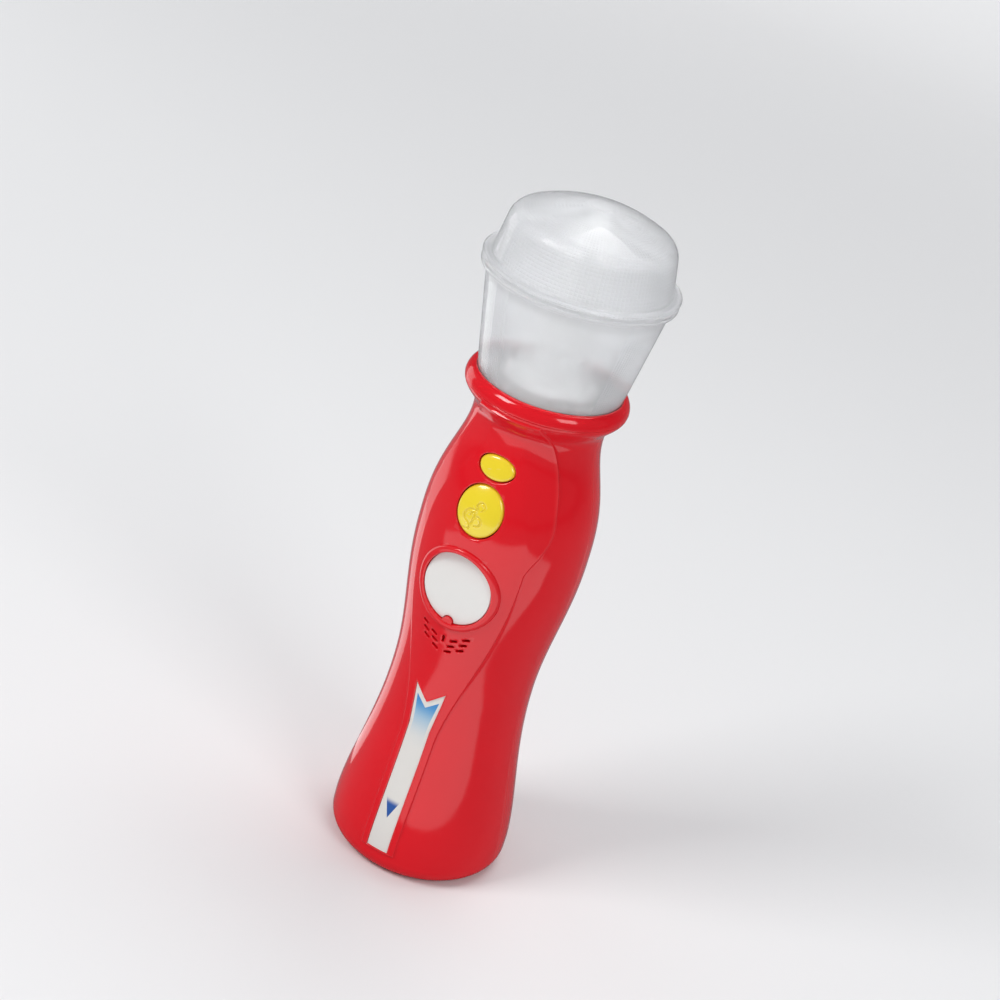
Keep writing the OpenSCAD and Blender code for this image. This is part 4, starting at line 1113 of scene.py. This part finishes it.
COLLAR_ROUND, COLLAR_FULLNESS, COLLAR_GAP = 0.3, 1.2, 0.15
COLLAR_RIM_W, COLLAR_LIP_W, COLLAR_LIP_DROPS = 0.45, 0.2, (0.02, 0.3)
CUP_FLOOR_Z, CUP_FLOOR_T = COLLAR_LOW[2] + SPIGOT_H, 1.8
CUP_BASE_R, CUP_TOP_R = 22.65, 28.1
CUP_FLANGE_T, GROOVE_H, CUP_RIM_STEP = 1.5, 1.0, 0.7
CUP_EDGE, CUP_FLANGE_EDGE, CUP_INNER_EDGE, CUP_INNER_FOOT = 0.5, 0.65, 0.9, 0.8
CUP_RIB = 0.09
BAND_Z = CUP_HIGH[2] - GROOVE_H
CUP_H = BAND_Z - COLLAR_HIGH[2]
CUP_TAPER = (CUP_TOP_R - CUP_BASE_R) / (CUP_H - CUP_FLANGE_T)
CUP_LOW_R = CUP_BASE_R - CUP_TAPER * (COLLAR_HIGH[2] - CUP_FLOOR_Z)
SOCKET_R, SOCKET_BORE_R, SOCKET_FLANGE_R, SOCKET_FLANGE_T = 17.8, 16.0, 19.0, 1.6
LIGHT_HOLE_R = 6.4
TONGUE_DROP, TONGUE_GAP = 4.5, 0.15
DOME_FLANGE_W, DOME_FLANGE_T, DOME_FILLET = 2.8, 1.3, 0.5
DOME_LEAN = math.radians(9.7)
SHOULDER_R, CROWN_R = 5.9, 48.0
SPOT_R, SPOT_RISE, SPOT_EASE, SPOT_ZONE = 4.4, 0.4, 0.3, 1.5
REST_GAP = 0.02


class TOYMIC_OT_collar(bpy.types.Operator):
    """Build the collar between the handle and the head"""

    bl_idname = "toy_microphone.collar"
    bl_label = "Collar"

    def execute(self, context):
        low, high = COLLAR_LOW[2] + 0.01, COLLAR_HIGH[2]
        wide_r, rim_r, bore_r = COLLAR_HIGH[0], CUP_BASE_R + COLLAR_RIM_W, SPIGOT_R + COLLAR_GAP
        outline = [(bore_r, low)]
        outline += arc(wide_r - COLLAR_ROUND, low + COLLAR_ROUND, COLLAR_ROUND, -90, 0, 5)
        for a in (math.radians(90 * i / 32) for i in range(1, 33)):
            outline.append((rim_r + (wide_r - rim_r) * math.cos(a) ** COLLAR_FULLNESS,
                            low + COLLAR_ROUND + (high - low - COLLAR_ROUND) * math.sin(a)))
        outline += [(CUP_BASE_R + COLLAR_LIP_W, high - COLLAR_LIP_DROPS[0]),
                    (CUP_BASE_R + COLLAR_GAP, high - COLLAR_LIP_DROPS[1]),
                    (CUP_LOW_R + COLLAR_GAP, CUP_FLOOR_Z), (bore_r, CUP_FLOOR_Z)]
        settle(revolve("collar", outline, 240), "handle", "red_plastic", "collar_ring")
        return {"FINISHED"}


class TOYMIC_OT_head_cup(bpy.types.Operator):
    """Build the frosted cup with its fine upright ribs and its flange"""

    bl_idname = "toy_microphone.head_cup"
    bl_label = "Head Cup"

    def execute(self, context):
        wall, wall_top = size("head_wall"), BAND_Z - CUP_FLANGE_T
        flange_r, floor_top, flange_low = CUP_HIGH[0], CUP_FLOOR_Z + CUP_FLOOR_T, CUP_LOW[2] + SOCKET_FLANGE_T
        rim_r, inner_r, low_inner = flange_r - CUP_RIM_STEP, CUP_TOP_R - wall, CUP_LOW_R - wall
        step_z = wall_top - TONGUE_DROP
        outline = [
            (LIGHT_HOLE_R, CUP_FLOOR_Z), (SOCKET_BORE_R, CUP_FLOOR_Z), (SOCKET_BORE_R, CUP_LOW[2]),
            (SOCKET_FLANGE_R, CUP_LOW[2]), (SOCKET_FLANGE_R, flange_low), (SOCKET_R, flange_low),
            (SOCKET_R, CUP_FLOOR_Z), (CUP_LOW_R, CUP_FLOOR_Z)]
        outline += between((CUP_LOW_R, CUP_FLOOR_Z), (CUP_TOP_R, wall_top - CUP_EDGE), 24)
        outline += arc(CUP_TOP_R + CUP_EDGE, wall_top - CUP_EDGE, CUP_EDGE, 180, 90, 5)
        outline += arc(flange_r - CUP_FLANGE_EDGE, wall_top + CUP_FLANGE_EDGE, CUP_FLANGE_EDGE, -80, 0, 6)
        outline += arc(flange_r - CUP_EDGE, BAND_Z - CUP_EDGE, CUP_EDGE, 0, 90, 5)
        outline += [(rim_r, BAND_Z), (rim_r, CUP_HIGH[2]), (inner_r, CUP_HIGH[2]), (inner_r, step_z)]
        first_rib = len(outline)
        outline += between((inner_r, step_z), (low_inner, floor_top + CUP_INNER_FOOT), 16)
        ribbed = range(first_rib, len(outline))
        outline += arc(low_inner - CUP_INNER_EDGE, floor_top + CUP_INNER_EDGE, CUP_INNER_EDGE, 0, -90, 5)
        outline += [(LIGHT_HOLE_R, floor_top)]
        ribs = setting("cup_ribs")
        cup = revolve("head_cup_frosted", outline, max(240, 4 * ribs), ribs, CUP_RIB, ribbed)
        settle(cup, "handle", "frosted_plastic", "head_cup", frosted_plastic("Frosted Cup", False))
        return {"FINISHED"}


def dome_line(inset):
    """Wall, shoulder and crown of the dome, moved inwards by a distance."""
    flange_top = CUP_HIGH[2] + DOME_FLANGE_T
    wall_r, centre_z = DOME_HIGH[0] - DOME_FLANGE_W, DOME_HIGH[2] - SPOT_RISE - CROWN_R
    slope, lean = math.tan(DOME_LEAN), math.degrees(DOME_LEAN)
    reach = (wall_r - SHOULDER_R / math.cos(DOME_LEAN)) + slope * flange_top
    a, b = 1 + slope ** 2, reach * slope + centre_z
    c = reach ** 2 + centre_z ** 2 - (CROWN_R - SHOULDER_R) ** 2
    blend_z = (b + math.sqrt(b * b - a * c)) / a
    blend_r = reach - slope * blend_z
    crown = math.degrees(math.atan2(blend_z - centre_z, blend_r))
    if inset:
        line = [(wall_r - inset / math.cos(DOME_LEAN), flange_top)]
    else:
        line = arc(wall_r + DOME_FILLET, flange_top + DOME_FILLET, DOME_FILLET, -90, lean - 180, 5)
    shoulder = arc(blend_r, blend_z, SHOULDER_R - inset, lean, crown, 16)
    line += between(line[-1], shoulder[0], 10)
    return line + shoulder + arc(0.0, centre_z, CROWN_R - inset, crown, 90, 40)[1:]


class TOYMIC_OT_head_dome(bpy.types.Operator):
    """Build the frosted dome with its rounded flange and the plain spot on its crown"""

    bl_idname = "toy_microphone.head_dome"
    bl_label = "Head Dome"

    def execute(self, context):
        wall, rim_z, edge = size("head_wall"), CUP_HIGH[2], DOME_FLANGE_T / 2
        round_r, tongue_r = DOME_HIGH[0] - edge, CUP_TOP_R - wall - TONGUE_GAP
        outer = []
        for r, z in dome_line(0.0):
            lift = SPOT_RISE * (1 - ease(clamp((r - SPOT_R + SPOT_EASE) / (2 * SPOT_EASE))))
            outer.append((max(r, 0.0), z + lift))
        dense = []
        for here, there in zip(outer, outer[1:]):
            near_spot = abs(here[0] - SPOT_R) < SPOT_ZONE
            dense += between(here, there, 5 if near_spot else 1, 0)
        inner = [(max(r, 0.0), z) for r, z in reversed(dome_line(wall))]
        outline = [(inner[-1][0], DOME_LOW[2]), (tongue_r, DOME_LOW[2]), (tongue_r, rim_z + REST_GAP),
                   (round_r, rim_z + REST_GAP)]
        outline += arc(round_r, rim_z + edge, edge, -80, 90, 18) + dense + outer[-1:] + inner
        settle(revolve("head_dome_frosted", outline, 288), "handle", "frosted_plastic", "head_dome",
               frosted_plastic("Frosted Dome", True))
        return {"FINISHED"}


TOWER_FOOT_W, TOWER_TOP_W, TOWER_WALL = 15.2, 11.7, 1.2
TOWER_BASE_R, TOWER_BASE_T, TOWER_BASE_EDGE = 12.92, 1.4, 0.3
TOWER_CORNER, TOWER_INNER_CORNER = 1.5, 0.8
TOWER_CROWN = ((0.3, 0.4, 1.4), (1.0, 0.08, 1.2), (1.9, 0.0, 1.0))  # narrower by, below the top, corner


def square_ring(width, z, round_r):
    half = width / 2
    outline = rounded_outline([(-half, -half), (half, -half), (half, half), (-half, half)], round_r)
    a = setting("tower_turn") + TURN / 8
    c, s = math.cos(a), math.sin(a)
    return [(x * c - y * s, x * s + y * c, z) for x, y in outline]


class TOYMIC_OT_light_tower(bpy.types.Operator):
    """Build the hollow square light tower inside the head"""

    bl_idname = "toy_microphone.light_tower"
    bl_label = "Light Tower"

    def execute(self, context):
        low, high = TOWER_LOW[2], TOWER_HIGH[2]
        shaft = between((TOWER_FOOT_W, low), (TOWER_TOP_W, high - 1), 20, 0) + [(TOWER_TOP_W, high - 1)]
        rings = [square_ring(width, z, TOWER_CORNER) for width, z in shaft]
        rings += [square_ring(TOWER_TOP_W - narrow, high - drop, corner)
                  for narrow, drop, corner in TOWER_CROWN]
        tower = loft("light_tower_white", rings)
        base_top = low + TOWER_BASE_T
        base = revolve("base", [(0.0, low), (TOWER_BASE_R, low), (TOWER_BASE_R, base_top - TOWER_BASE_EDGE),
                                (TOWER_BASE_R - TOWER_BASE_EDGE, base_top), (0.0, base_top)], 96)
        combine(tower, base, "UNION")
        inner = [square_ring(TOWER_FOOT_W - 2 * TOWER_WALL, low - 1, TOWER_INNER_CORNER),
                 square_ring(TOWER_TOP_W - 2 * TOWER_WALL, high - TOWER_WALL, TOWER_INNER_CORNER)]
        combine(tower, loft("hollow", inner), "DIFFERENCE")
        settle(tower, "handle", "white_plastic", "light_tower", slot_finish("tower_plastic"))
        return {"FINISHED"}


# ---- Buttons, plate and label ----------------------------------------------

BUTTON_EDGE, BUTTON_CROWN, BUTTON_POINTS = 0.9, 2.6, 120
BUTTON_BACK, BUTTON_START = {"small_button": 18.0, "large_button": 19.0}, 0.6
BUTTON_EAR_W, BUTTON_EAR_DROP, BUTTON_EAR_T = 1.2, 0.5, 1.2
BUTTON_STEM_R, BUTTON_STEM_LAP = 2.0, 0.3
CLEF = (
    ((1.1, 0.8), (1.7, 1.9), (0.6, 3.0), (-0.7, 2.2), (-0.3, 0.9), (-1.1, 0.3), (-2.2, 0.2), (-3.3, -0.5),
     (-3.95, -1.9), (-3.4, -3.1), (-2.3, -3.8), (-1.4, -4.6), (-1.4, -5.7), (-2.3, -6.3), (-3.1, -5.8)),
    ((-2.1, -1.4), (-1.4, -0.6), (-0.7, -0.8), (-0.55, -1.9), (-0.8, -3.3), (-1.0, -4.3)),
    ((-0.9, -3.6), (-0.4, -2.1), (0.5, -1.4), (1.6, -1.8), (1.95, -2.9), (1.3, -4.1), (0.0, -4.4)),
)
CLEF_GROOVE, CLEF_LIFT = 0.45, 0.02
PLATE_EDGE = 0.25


def button_size(node):
    """Half-width, half-height and height of the middle of a cap, from its box less its ears."""
    low, high = box_mm(node)
    return high[0] - BUTTON_EAR_W, 0.5 * (high[2] - low[2]), 0.5 * (low[2] + high[2])


def crown_surface(node):
    """Function that gives the cap's crowned face at a point."""
    half_w, half_h, z = button_size(node)
    face_y = handle_radius(z) + size("button_rise")
    slope = math.atan((handle_radius(z - 2) - handle_radius(z + 2)) / 4)
    radius = BUTTON_CROWN * max(half_w, half_h)
    centre_y, centre_z = -face_y + radius * math.cos(slope), z - radius * math.sin(slope)

    def surface(x, height, rise=0.0):
        reach = (radius + rise) ** 2 - x * x - (height - centre_z) ** 2
        return (x, centre_y - math.sqrt(reach), height)

    return surface


def button_body(name, node):
    """Cap with a rounded rim, its ears behind the shell and its stem."""
    half_w, half_h, z = button_size(node)
    surface, back_y = crown_surface(node), FRONT * BUTTON_BACK[node]
    start_y, stop_y = back_y + BUTTON_START, box_mm(node)[1][1]
    rings = [[(x, start_y, h) for x, h in ellipse(half_w, half_h, z, BUTTON_POINTS)]]
    for inset, depth in rounding(BUTTON_EDGE, range(0, 91, 15)):
        rim = ellipse(half_w - inset, half_h - inset, z, BUTTON_POINTS)
        rings.append([surface(x, h, -depth) for x, h in rim])
    for share in (1 - i / 10 for i in range(1, 10)):
        face = ellipse((half_w - BUTTON_EDGE) * share, (half_h - BUTTON_EDGE) * share, z, BUTTON_POINTS)
        rings.append([surface(x, h) for x, h in face])
    cap = loft(name, rings, (0.0, start_y, z), surface(0.0, z))
    ears = ellipse(half_w + BUTTON_EAR_W, half_h - BUTTON_EAR_DROP, z, BUTTON_POINTS)
    combine(cap, prism("ears", ears, (back_y + BUTTON_EAR_T, back_y)), "UNION")
    stem = circle(BUTTON_STEM_R, z, 40)
    combine(cap, prism("stem", stem, (stop_y, back_y + BUTTON_STEM_LAP)), "UNION")
    return cap


def clef_radius(share):
    """Radius of a bar of the clef, thinner towards its ends."""
    return CLEF_GROOVE * min(1.0, 0.6 + 3 * share, 3.6 - 3 * share)


def clef_tools(node):
    """Round bars that press a generic treble clef into the cap's face."""
    z, surface = button_size(node)[2], crown_surface(node)
    for line in CLEF:
        curve = smooth_path([(x, h, 0.0) for x, h in line], 8)
        path = [surface(x, z + h, CLEF_LIFT) for x, h, _ in curve]
        yield tube("clef", path, clef_radius)


class TOYMIC_OT_buttons(bpy.types.Operator):
    """Build the two crowned button caps"""

    bl_idname = "toy_microphone.buttons"
    bl_label = "Buttons"

    def execute(self, context):
        for node in ("small_button", "large_button"):
            cap = button_body(node + "_cap", node)
            if node == "large_button":
                for tool in clef_tools(node):
                    combine(cap, tool, "DIFFERENCE")
            settle(cap, node, "yellow_plastic", node)
        return {"FINISHED"}


class TOYMIC_OT_round_plate(bpy.types.Operator):
    """Build the plain round plate that sits inside the ring"""

    bl_idname = "toy_microphone.round_plate"
    bl_label = "Round Plate"

    def execute(self, context):
        face_y, seat_y, outline = PLATE_LOW[1], PLATE_HIGH[1], plate_outline(0.0)
        rings = [[(x, seat_y, z) for x, z in outline]]
        for inset, depth in rounding(PLATE_EDGE, (0, 30, 60, 90)):
            rings.append([(x, face_y + depth, z) for x, z in offset_outline(outline, -inset)])
        for share in (0.8, 0.55, 0.3):
            rings.append([(x * share, face_y, PLATE_Z + (z - PLATE_Z) * share)
                          for x, z in offset_outline(outline, -PLATE_EDGE)])
        plate = loft("round_plate_disc", rings, (0.0, seat_y, PLATE_Z), (0.0, face_y, PLATE_Z))
        settle(plate, "handle", "white_plastic", "round_plate")
        return {"FINISHED"}


class TOYMIC_OT_ribbon(bpy.types.Operator):
    """Build the printed ribbon label in its recess"""

    bl_idname = "toy_microphone.ribbon"
    bl_label = "Ribbon Label"

    def execute(self, context):
        face, seat = (ribbon_sheet(rise, 0.0, 90, 16) for rise in (RIBBON_FACE, RIBBON_SEAT))
        settle(thick_sheet("ribbon_printed", face, seat), "handle", "printed_label", "ribbon_label")
        return {"FINISHED"}


# ---- Battery door, screws and contacts -------------------------------------

HEAD_RIM = 0.45  # share of a screw head's height that is upright
SHANK_R, SHANK_TIP_R, SHANK_TIP, SHANK_LAP = 1.3, 0.9, 1.0, 0.2
CROSS_TURN = 0.5
CROSS_BARS = ((-0.9, 0.45, 0.22), (-0.35, 1.25, 0.3), (0.5, 1.45, 0.34))  # from the top, half-sizes
SCREW_HEAD_R, SCREW_HEAD_T, SCREW_END_Y = 2.6, 2.0, -9.0
BLANK_HALF, BLANK_COLUMNS, BLANK_ROWS, BLANK_SPARE = 17.0, 69, 112, 2  # sheet the door is cut from


def cross_screw(name, x, seat_y, z, head_r, head_t, end_y):
    """Screw with a domed head and a cross slot, seen from the back."""
    head = [(0.0, 0.0), (head_r, 0.0), (head_r, head_t * HEAD_RIM)]
    head += [(head_r * math.cos(a), head_t * (HEAD_RIM + (1 - HEAD_RIM) * math.sin(a)))
             for a in (math.radians(15 * i) for i in range(1, 6))]
    screw = revolve(name, head + [(0.0, head_t)], 48)
    end = end_y - seat_y
    shank = revolve("shank", [(0.0, end), (SHANK_TIP_R, end), (SHANK_R, end + SHANK_TIP),
                              (SHANK_R, SHANK_LAP), (0.0, SHANK_LAP)], 24)
    combine(screw, shank, "UNION")
    for a in (CROSS_TURN, TURN / 4 + CROSS_TURN):
        c, s = math.cos(a), math.sin(a)
        bars = []
        for height, half_l, half_w in CROSS_BARS:
            corners = ((-half_l, -half_w), (half_l, -half_w), (half_l, half_w), (-half_l, half_w))
            bars.append([(px * c - py * s, px * s + py * c, head_t + height) for px, py in corners])
        combine(screw, loft("slot", bars), "DIFFERENCE")
    screw.data.transform(Matrix.Translation((x, seat_y, z)) @ Matrix.Rotation(-TURN / 4, 4, "X"))
    return screw


def ridge_radius(share):
    """Radius of a grip ridge, thinner towards its ends."""
    return RIDGE_END_R + RIDGE_SWELL_R * min(1.0, 6 * math.sin(math.pi * share))


class TOYMIC_OT_battery_door(bpy.types.Operator):
    """Build the battery door with its rounded edges, grip ridges and screws"""

    bl_idname = "toy_microphone.battery_door"
    bl_label = "Battery Door"

    def execute(self, context):
        low, high = DOOR_LOW[2] - BLANK_SPARE, DOOR_HIGH[2] + BLANK_SPARE
        across = [float(x) for x in np.linspace(-BLANK_HALF, BLANK_HALF, BLANK_COLUMNS)]
        heights = [float(z) for z in np.linspace(low, high, BLANK_ROWS)]
        outer, inner = ([[surface_point(x, z, BACK, rise) for x in across] for z in heights]
                        for rise in (0.0, -DOOR_WALL))
        door = thick_sheet("battery_door_panel", outer, inner)
        crop = surface_tool("crop", door_outline(), BACK, DOOR_DEEP_Y, DOOR_LIP, inward=True)
        combine(door, crop, "INTERSECT")
        for z in (DOOR_MAIN[0] + RIDGE_START + RIDGE_PITCH * i for i in range(RIDGE_COUNT)):
            path = [surface_point(x, z, BACK, -RIDGE_SINK) for x in np.linspace(-RIDGE_HALF, RIDGE_HALF, 27)]
            combine(door, tube("ridge", path, ridge_radius), "UNION")
        screws = []
        for z in DOOR_SCREW_Z:
            seat_y = handle_radius(z) - DOOR_HEAD_T
            well = well_tool(0.0, z, DOOR_HEAD_R + DOOR_HEAD_GAP, seat_y, DOOR_HEAD_LIP)
            combine(door, well, "DIFFERENCE")
            screws.append(cross_screw("door_screw", 0.0, seat_y, z, DOOR_HEAD_R, DOOR_HEAD_T - DOOR_HEAD_SINK,
                                      seat_y - DOOR_SHANK))
        settle(door, "battery_door", "red_plastic", "battery_door")
        settle(merged("door_screw_pair", screws), "battery_door", "steel", "door_screws")
        return {"FINISHED"}


class TOYMIC_OT_shell_screws(bpy.types.Operator):
    """Build the six cross-head screws in the back shell's wells"""

    bl_idname = "toy_microphone.shell_screws"
    bl_label = "Shell Screws"

    def execute(self, context):
        screws = [cross_screw("shell_screw", x, WELL_SEAT_Y, z, SCREW_HEAD_R, SCREW_HEAD_T, SCREW_END_Y)
                  for x, z in screw_places()]
        settle(merged("shell_screw_set", screws), "handle", "steel", "shell_screws")
        return {"FINISHED"}


CELL_X, CELL_Y = 7.575, 10.0
SPRING_R, SPRING_NARROWING, SPRING_WIRE = 3.2, 1.0, 0.42
SPRING_TURNS, SPRING_STEPS = 3.5, 24
SPRING_START, SPRING_RISE = 0.7, 2.8
CONTACT_HALF, CONTACT_CORNER, CONTACT_T = 5.0, 1.0, 0.3


class TOYMIC_OT_contacts(bpy.types.Operator):
    """Build the coil springs of the battery contacts on their plates"""

    bl_idname = "toy_microphone.contacts"
    bl_label = "Battery Contacts"

    def execute(self, context):
        low, high = box_mm("spring_contacts")
        h, count, parts = CONTACT_HALF, int(SPRING_TURNS * SPRING_STEPS), []
        for x, z, way in ((-CELL_X, low[2], 1), (CELL_X, high[2], -1)):
            path = []
            for share in (i / count for i in range(count + 1)):
                a, r = TURN * SPRING_TURNS * share, SPRING_R - SPRING_NARROWING * share
                path.append((x + r * math.cos(a), CELL_Y + r * math.sin(a),
                             z + way * (SPRING_START + SPRING_RISE * share)))
            parts.append(tube("spring", path, SPRING_WIRE, 10))
            corners = rounded_outline([(-h, -h), (h, -h), (h, h), (-h, h)], CONTACT_CORNER, 4)
            parts.append(loft("plate", [[(x + px, CELL_Y + py, z + way * d) for px, py in corners]
                                        for d in (0.0, CONTACT_T)]))
        settle(merged("coil_springs", parts), "handle", "steel", "spring_contacts")
        return {"FINISHED"}


class TOYMIC_OT_inner_parts(bpy.types.Operator):
    """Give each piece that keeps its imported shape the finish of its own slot"""

    bl_idname = "toy_microphone.inner_parts"
    bl_label = "Inner Parts"

    def execute(self, context):
        for part in frame["record"]["subparts"]:
            node = frame["nodes"][part["node"]]
            if not node.hide_render:
                for place in node.material_slots:
                    place.material = slot_finish(part["material_slot"])
        return {"FINISHED"}


# ---- Stage -----------------------------------------------------------------

CAMERA_PLACE = (0.2081, -0.5542, 0.4257)
CAMERA_TURN, CAMERA_RISE, CAMERA_ROLL = math.radians(21), math.radians(26.72), math.radians(16.49)
CAMERA_LENS, CAMERA_SENSOR, CAMERA_CLIP = 77.5, 36.0, (0.01, 20.0)
LAMP_AIM = (0.0, 0.0, 0.12)
LAMPS = (  # name, place, width, height, power
    ("key", (-0.75, -0.85, 1.15), 0.55, 0.55, 11.5), ("side", (0.90, -0.50, 0.85), 0.5, 0.5, 4.0),
    ("fill", (-0.96, 0.28, 0.23), 0.44, 0.46, 0.8), ("top", (0.1, 0.45, 1.3), 0.8, 0.5, 5.5))
FLOOR_HALF, FLOOR_NEAR, FLOOR_FAR, FLOOR_ROUND, WALL_TOP = 3.5, -3.0, 1.2, 0.8, 3.5
FRONT_SHEET = (18, 0.28, 0.09, 0.42)  # degrees about the object, half-width, near and far edge
SIDE_SHEET = (-119, -94, 0.06, 0.95)  # degrees from the front, near and far edge
SHEET_GLOW = 1.1
WORLD_TINT, WORLD_LIGHT, WORLD_SEEN, WORLD_GLOSS = (0.93, 0.95, 1.0, 1), 0.4, 0.55, -0.18


def camera_axes():
    """Right, up and backward axes of the camera."""
    across = Vector((math.cos(CAMERA_TURN), math.sin(CAMERA_TURN), 0))
    away = Vector((-math.sin(CAMERA_TURN), math.cos(CAMERA_TURN), 0))
    up = Vector((0, 0, 1))
    lifted = away * math.sin(CAMERA_RISE) + up * math.cos(CAMERA_RISE)
    right = across * math.cos(CAMERA_ROLL) + lifted * math.sin(CAMERA_ROLL)
    above = -across * math.sin(CAMERA_ROLL) + lifted * math.cos(CAMERA_ROLL)
    back = -away * math.cos(CAMERA_RISE) + up * math.sin(CAMERA_RISE)
    return right, above, back


def add_lamp(name, place, width, height, power):
    lamp = bpy.data.lights.new(name, "AREA")
    lamp.shape = "RECTANGLE"
    lamp.size, lamp.size_y, lamp.energy = width, height, power
    thing = linked(name, lamp)
    thing.location = place
    thing.rotation_euler = (Vector(LAMP_AIM) - Vector(place)).to_track_quat("-Z", "Y").to_euler()


def front_sheet(nodes, place, turn_by, half_w, near, far):
    """Mask of a bright sheet that lies in front of the object, turned about it by some degrees."""
    turned = nodes.add("Mapping", {"Vector": place, "Rotation": (0, 0, math.radians(-turn_by))})
    across, along, _ = nodes.split(turned.outputs[0])
    beside = nodes.math("LESS_THAN", nodes.math("ABSOLUTE", across), half_w)
    return nodes.times(beside, nodes.within(along, -far, -near))


def side_sheet(nodes, place, start, end, near, far):
    """Mask of a bright sector of the floor, by degrees from the front and by distance."""
    x, y, _ = nodes.split(place)
    bearing = nodes.math("ARCTAN2", x, nodes.times(y, -1.0))
    inside = nodes.within(nodes.length(place), near, far)
    return nodes.times(nodes.within(bearing, math.radians(start), math.radians(end)), inside)


def ray_masks(nodes):
    """Rays that show a surface itself, and rays that show it in something shiny."""
    ray = nodes.add("LightPath").outputs
    seen = nodes.math("MAXIMUM", ray["Is Camera Ray"], ray["Is Transmission Ray"])
    return seen, nodes.minus(ray["Is Glossy Ray"], ray["Is Transmission Ray"], clamp=True)


@finish("Pale Paper")
def floor_finish(nodes):
    """Pale paper that glows a little far off, is painted darker where shiny surfaces show it, and whose
    bright sheets glow only in shiny surfaces, as painted reflections.
    """
    place = nodes.place()
    seen, glossy = ray_masks(nodes)
    cloud = nodes.ramp(nodes.noise(place, 3.0), 0.3, 0.7, 0.0, 0.05)
    paper = nodes.mix(cloud, colour("floor"), (0.74, 0.74, 0.75, 1))
    sheets = nodes.math("MAXIMUM", front_sheet(nodes, place, *FRONT_SHEET),
                        side_sheet(nodes, place, *SIDE_SHEET))
    pale = nodes.times(nodes.ramp(nodes.length(place), 0.4, 2.2, 0.0, 0.5), seen)
    return {
        # For glossy rays the paper is painted dark grey: a painted darker reflection of the floor.
        "Base Color": nodes.mix(glossy, paper, (0.25, 0.25, 0.26, 1)), "Roughness": 0.85,
        "Specular IOR Level": 0.1, "Emission Color": (1.0, 1.0, 1.0, 1.0),
        "Emission Strength": nodes.plus(pale, nodes.times(sheets, nodes.times(glossy, SHEET_GLOW)))}


def add_backdrop():
    """Floor that rises into a wall behind the object, as one bent sheet."""
    profile = [(FLOOR_NEAR, 0.0), *arc(FLOOR_FAR, FLOOR_ROUND, FLOOR_ROUND, -90, 0, 16),
               (FLOOR_FAR + FLOOR_ROUND, WALL_TOP)]
    points = [(x, y, z) for y, z in profile for x in (-FLOOR_HALF, FLOOR_HALF)]
    faces = [(2 * i, 2 * i + 1, 2 * i + 3, 2 * i + 2) for i in range(len(profile) - 1)]
    mesh = bpy.data.meshes.new("backdrop")
    mesh.from_pydata(points, [], faces)
    mesh.shade_smooth()
    mesh.materials.append(floor_finish())
    linked("backdrop", mesh)


def studio_world():
    """Even pale surroundings, brighter behind the object and a little darker in shiny surfaces."""
    world = bpy.data.worlds.new("Studio")
    world.use_nodes = True
    nodes = Nodes(world.node_tree)
    nodes.tree.nodes.clear()
    seen, glossy = ray_masks(nodes)
    change = nodes.plus(nodes.times(seen, WORLD_SEEN), nodes.times(glossy, WORLD_GLOSS))
    strength = nodes.plus(change, WORLD_LIGHT, clamp=True)
    light = nodes.add("Background", {"Color": WORLD_TINT, "Strength": strength})
    nodes.add("OutputWorld", {"Surface": light.outputs[0]})
    return world


def add_camera():
    view = bpy.data.cameras.new("camera")
    view.lens, view.sensor_width = CAMERA_LENS, CAMERA_SENSOR
    view.clip_start, view.clip_end = CAMERA_CLIP
    camera = linked("camera", view)
    camera.matrix_world = Matrix.Translation(CAMERA_PLACE) @ Matrix(camera_axes()).transposed().to_4x4()
    return camera


class TOYMIC_OT_stage(bpy.types.Operator):
    """Set the pale floor and backdrop, the soft lamps and the camera"""

    bl_idname = "toy_microphone.stage"
    bl_label = "Stage"

    def execute(self, context):
        add_backdrop()
        for lamp in LAMPS:
            add_lamp(*lamp)
        context.scene.world = studio_world()
        context.scene.camera = add_camera()
        context.scene.view_settings.view_transform = "Standard"
        return {"FINISHED"}


PIECES = (
    TOYMIC_OT_front_shell, TOYMIC_OT_back_shell, TOYMIC_OT_collar, TOYMIC_OT_head_cup, TOYMIC_OT_head_dome,
    TOYMIC_OT_light_tower, TOYMIC_OT_buttons, TOYMIC_OT_round_plate, TOYMIC_OT_ribbon, TOYMIC_OT_battery_door,
    TOYMIC_OT_shell_screws, TOYMIC_OT_contacts, TOYMIC_OT_inner_parts, TOYMIC_OT_stage,
)


class TOYMIC_PT_panel(bpy.types.Panel):
    """Lists the microphone's sizes, colours and pieces"""

    bl_idname = "TOYMIC_PT_panel"
    bl_label = "Toy Microphone"
    bl_space_type = "VIEW_3D"
    bl_region_type = "UI"
    bl_category = "Toy Microphone"

    def draw(self, context):
        for title, group in (("Sizes", context.scene.microphone_sizes),
                             ("Colours", context.scene.microphone_colours)):
            box = self.layout.box()
            box.label(text=title)
            for name in type(group).__annotations__:
                box.prop(group, name)
        box = self.layout.box()
        box.label(text="Pieces")
        for piece in PIECES:
            box.operator(piece.bl_idname)


CLASSES = (MicrophoneSizes, MicrophoneColours, *PIECES, TOYMIC_PT_panel)


def register():
    for item in CLASSES:
        bpy.utils.register_class(item)
    bpy.types.Scene.microphone_sizes = PointerProperty(type=MicrophoneSizes)
    bpy.types.Scene.microphone_colours = PointerProperty(type=MicrophoneColours)


def unregister():
    del bpy.types.Scene.microphone_colours
    del bpy.types.Scene.microphone_sizes
    for item in reversed(CLASSES):
        bpy.utils.unregister_class(item)


def main():
    register()
    for piece in PIECES:
        getattr(bpy.ops.toy_microphone, piece.bl_idname.split(".")[1])()


if __name__ == "__main__":
    main()
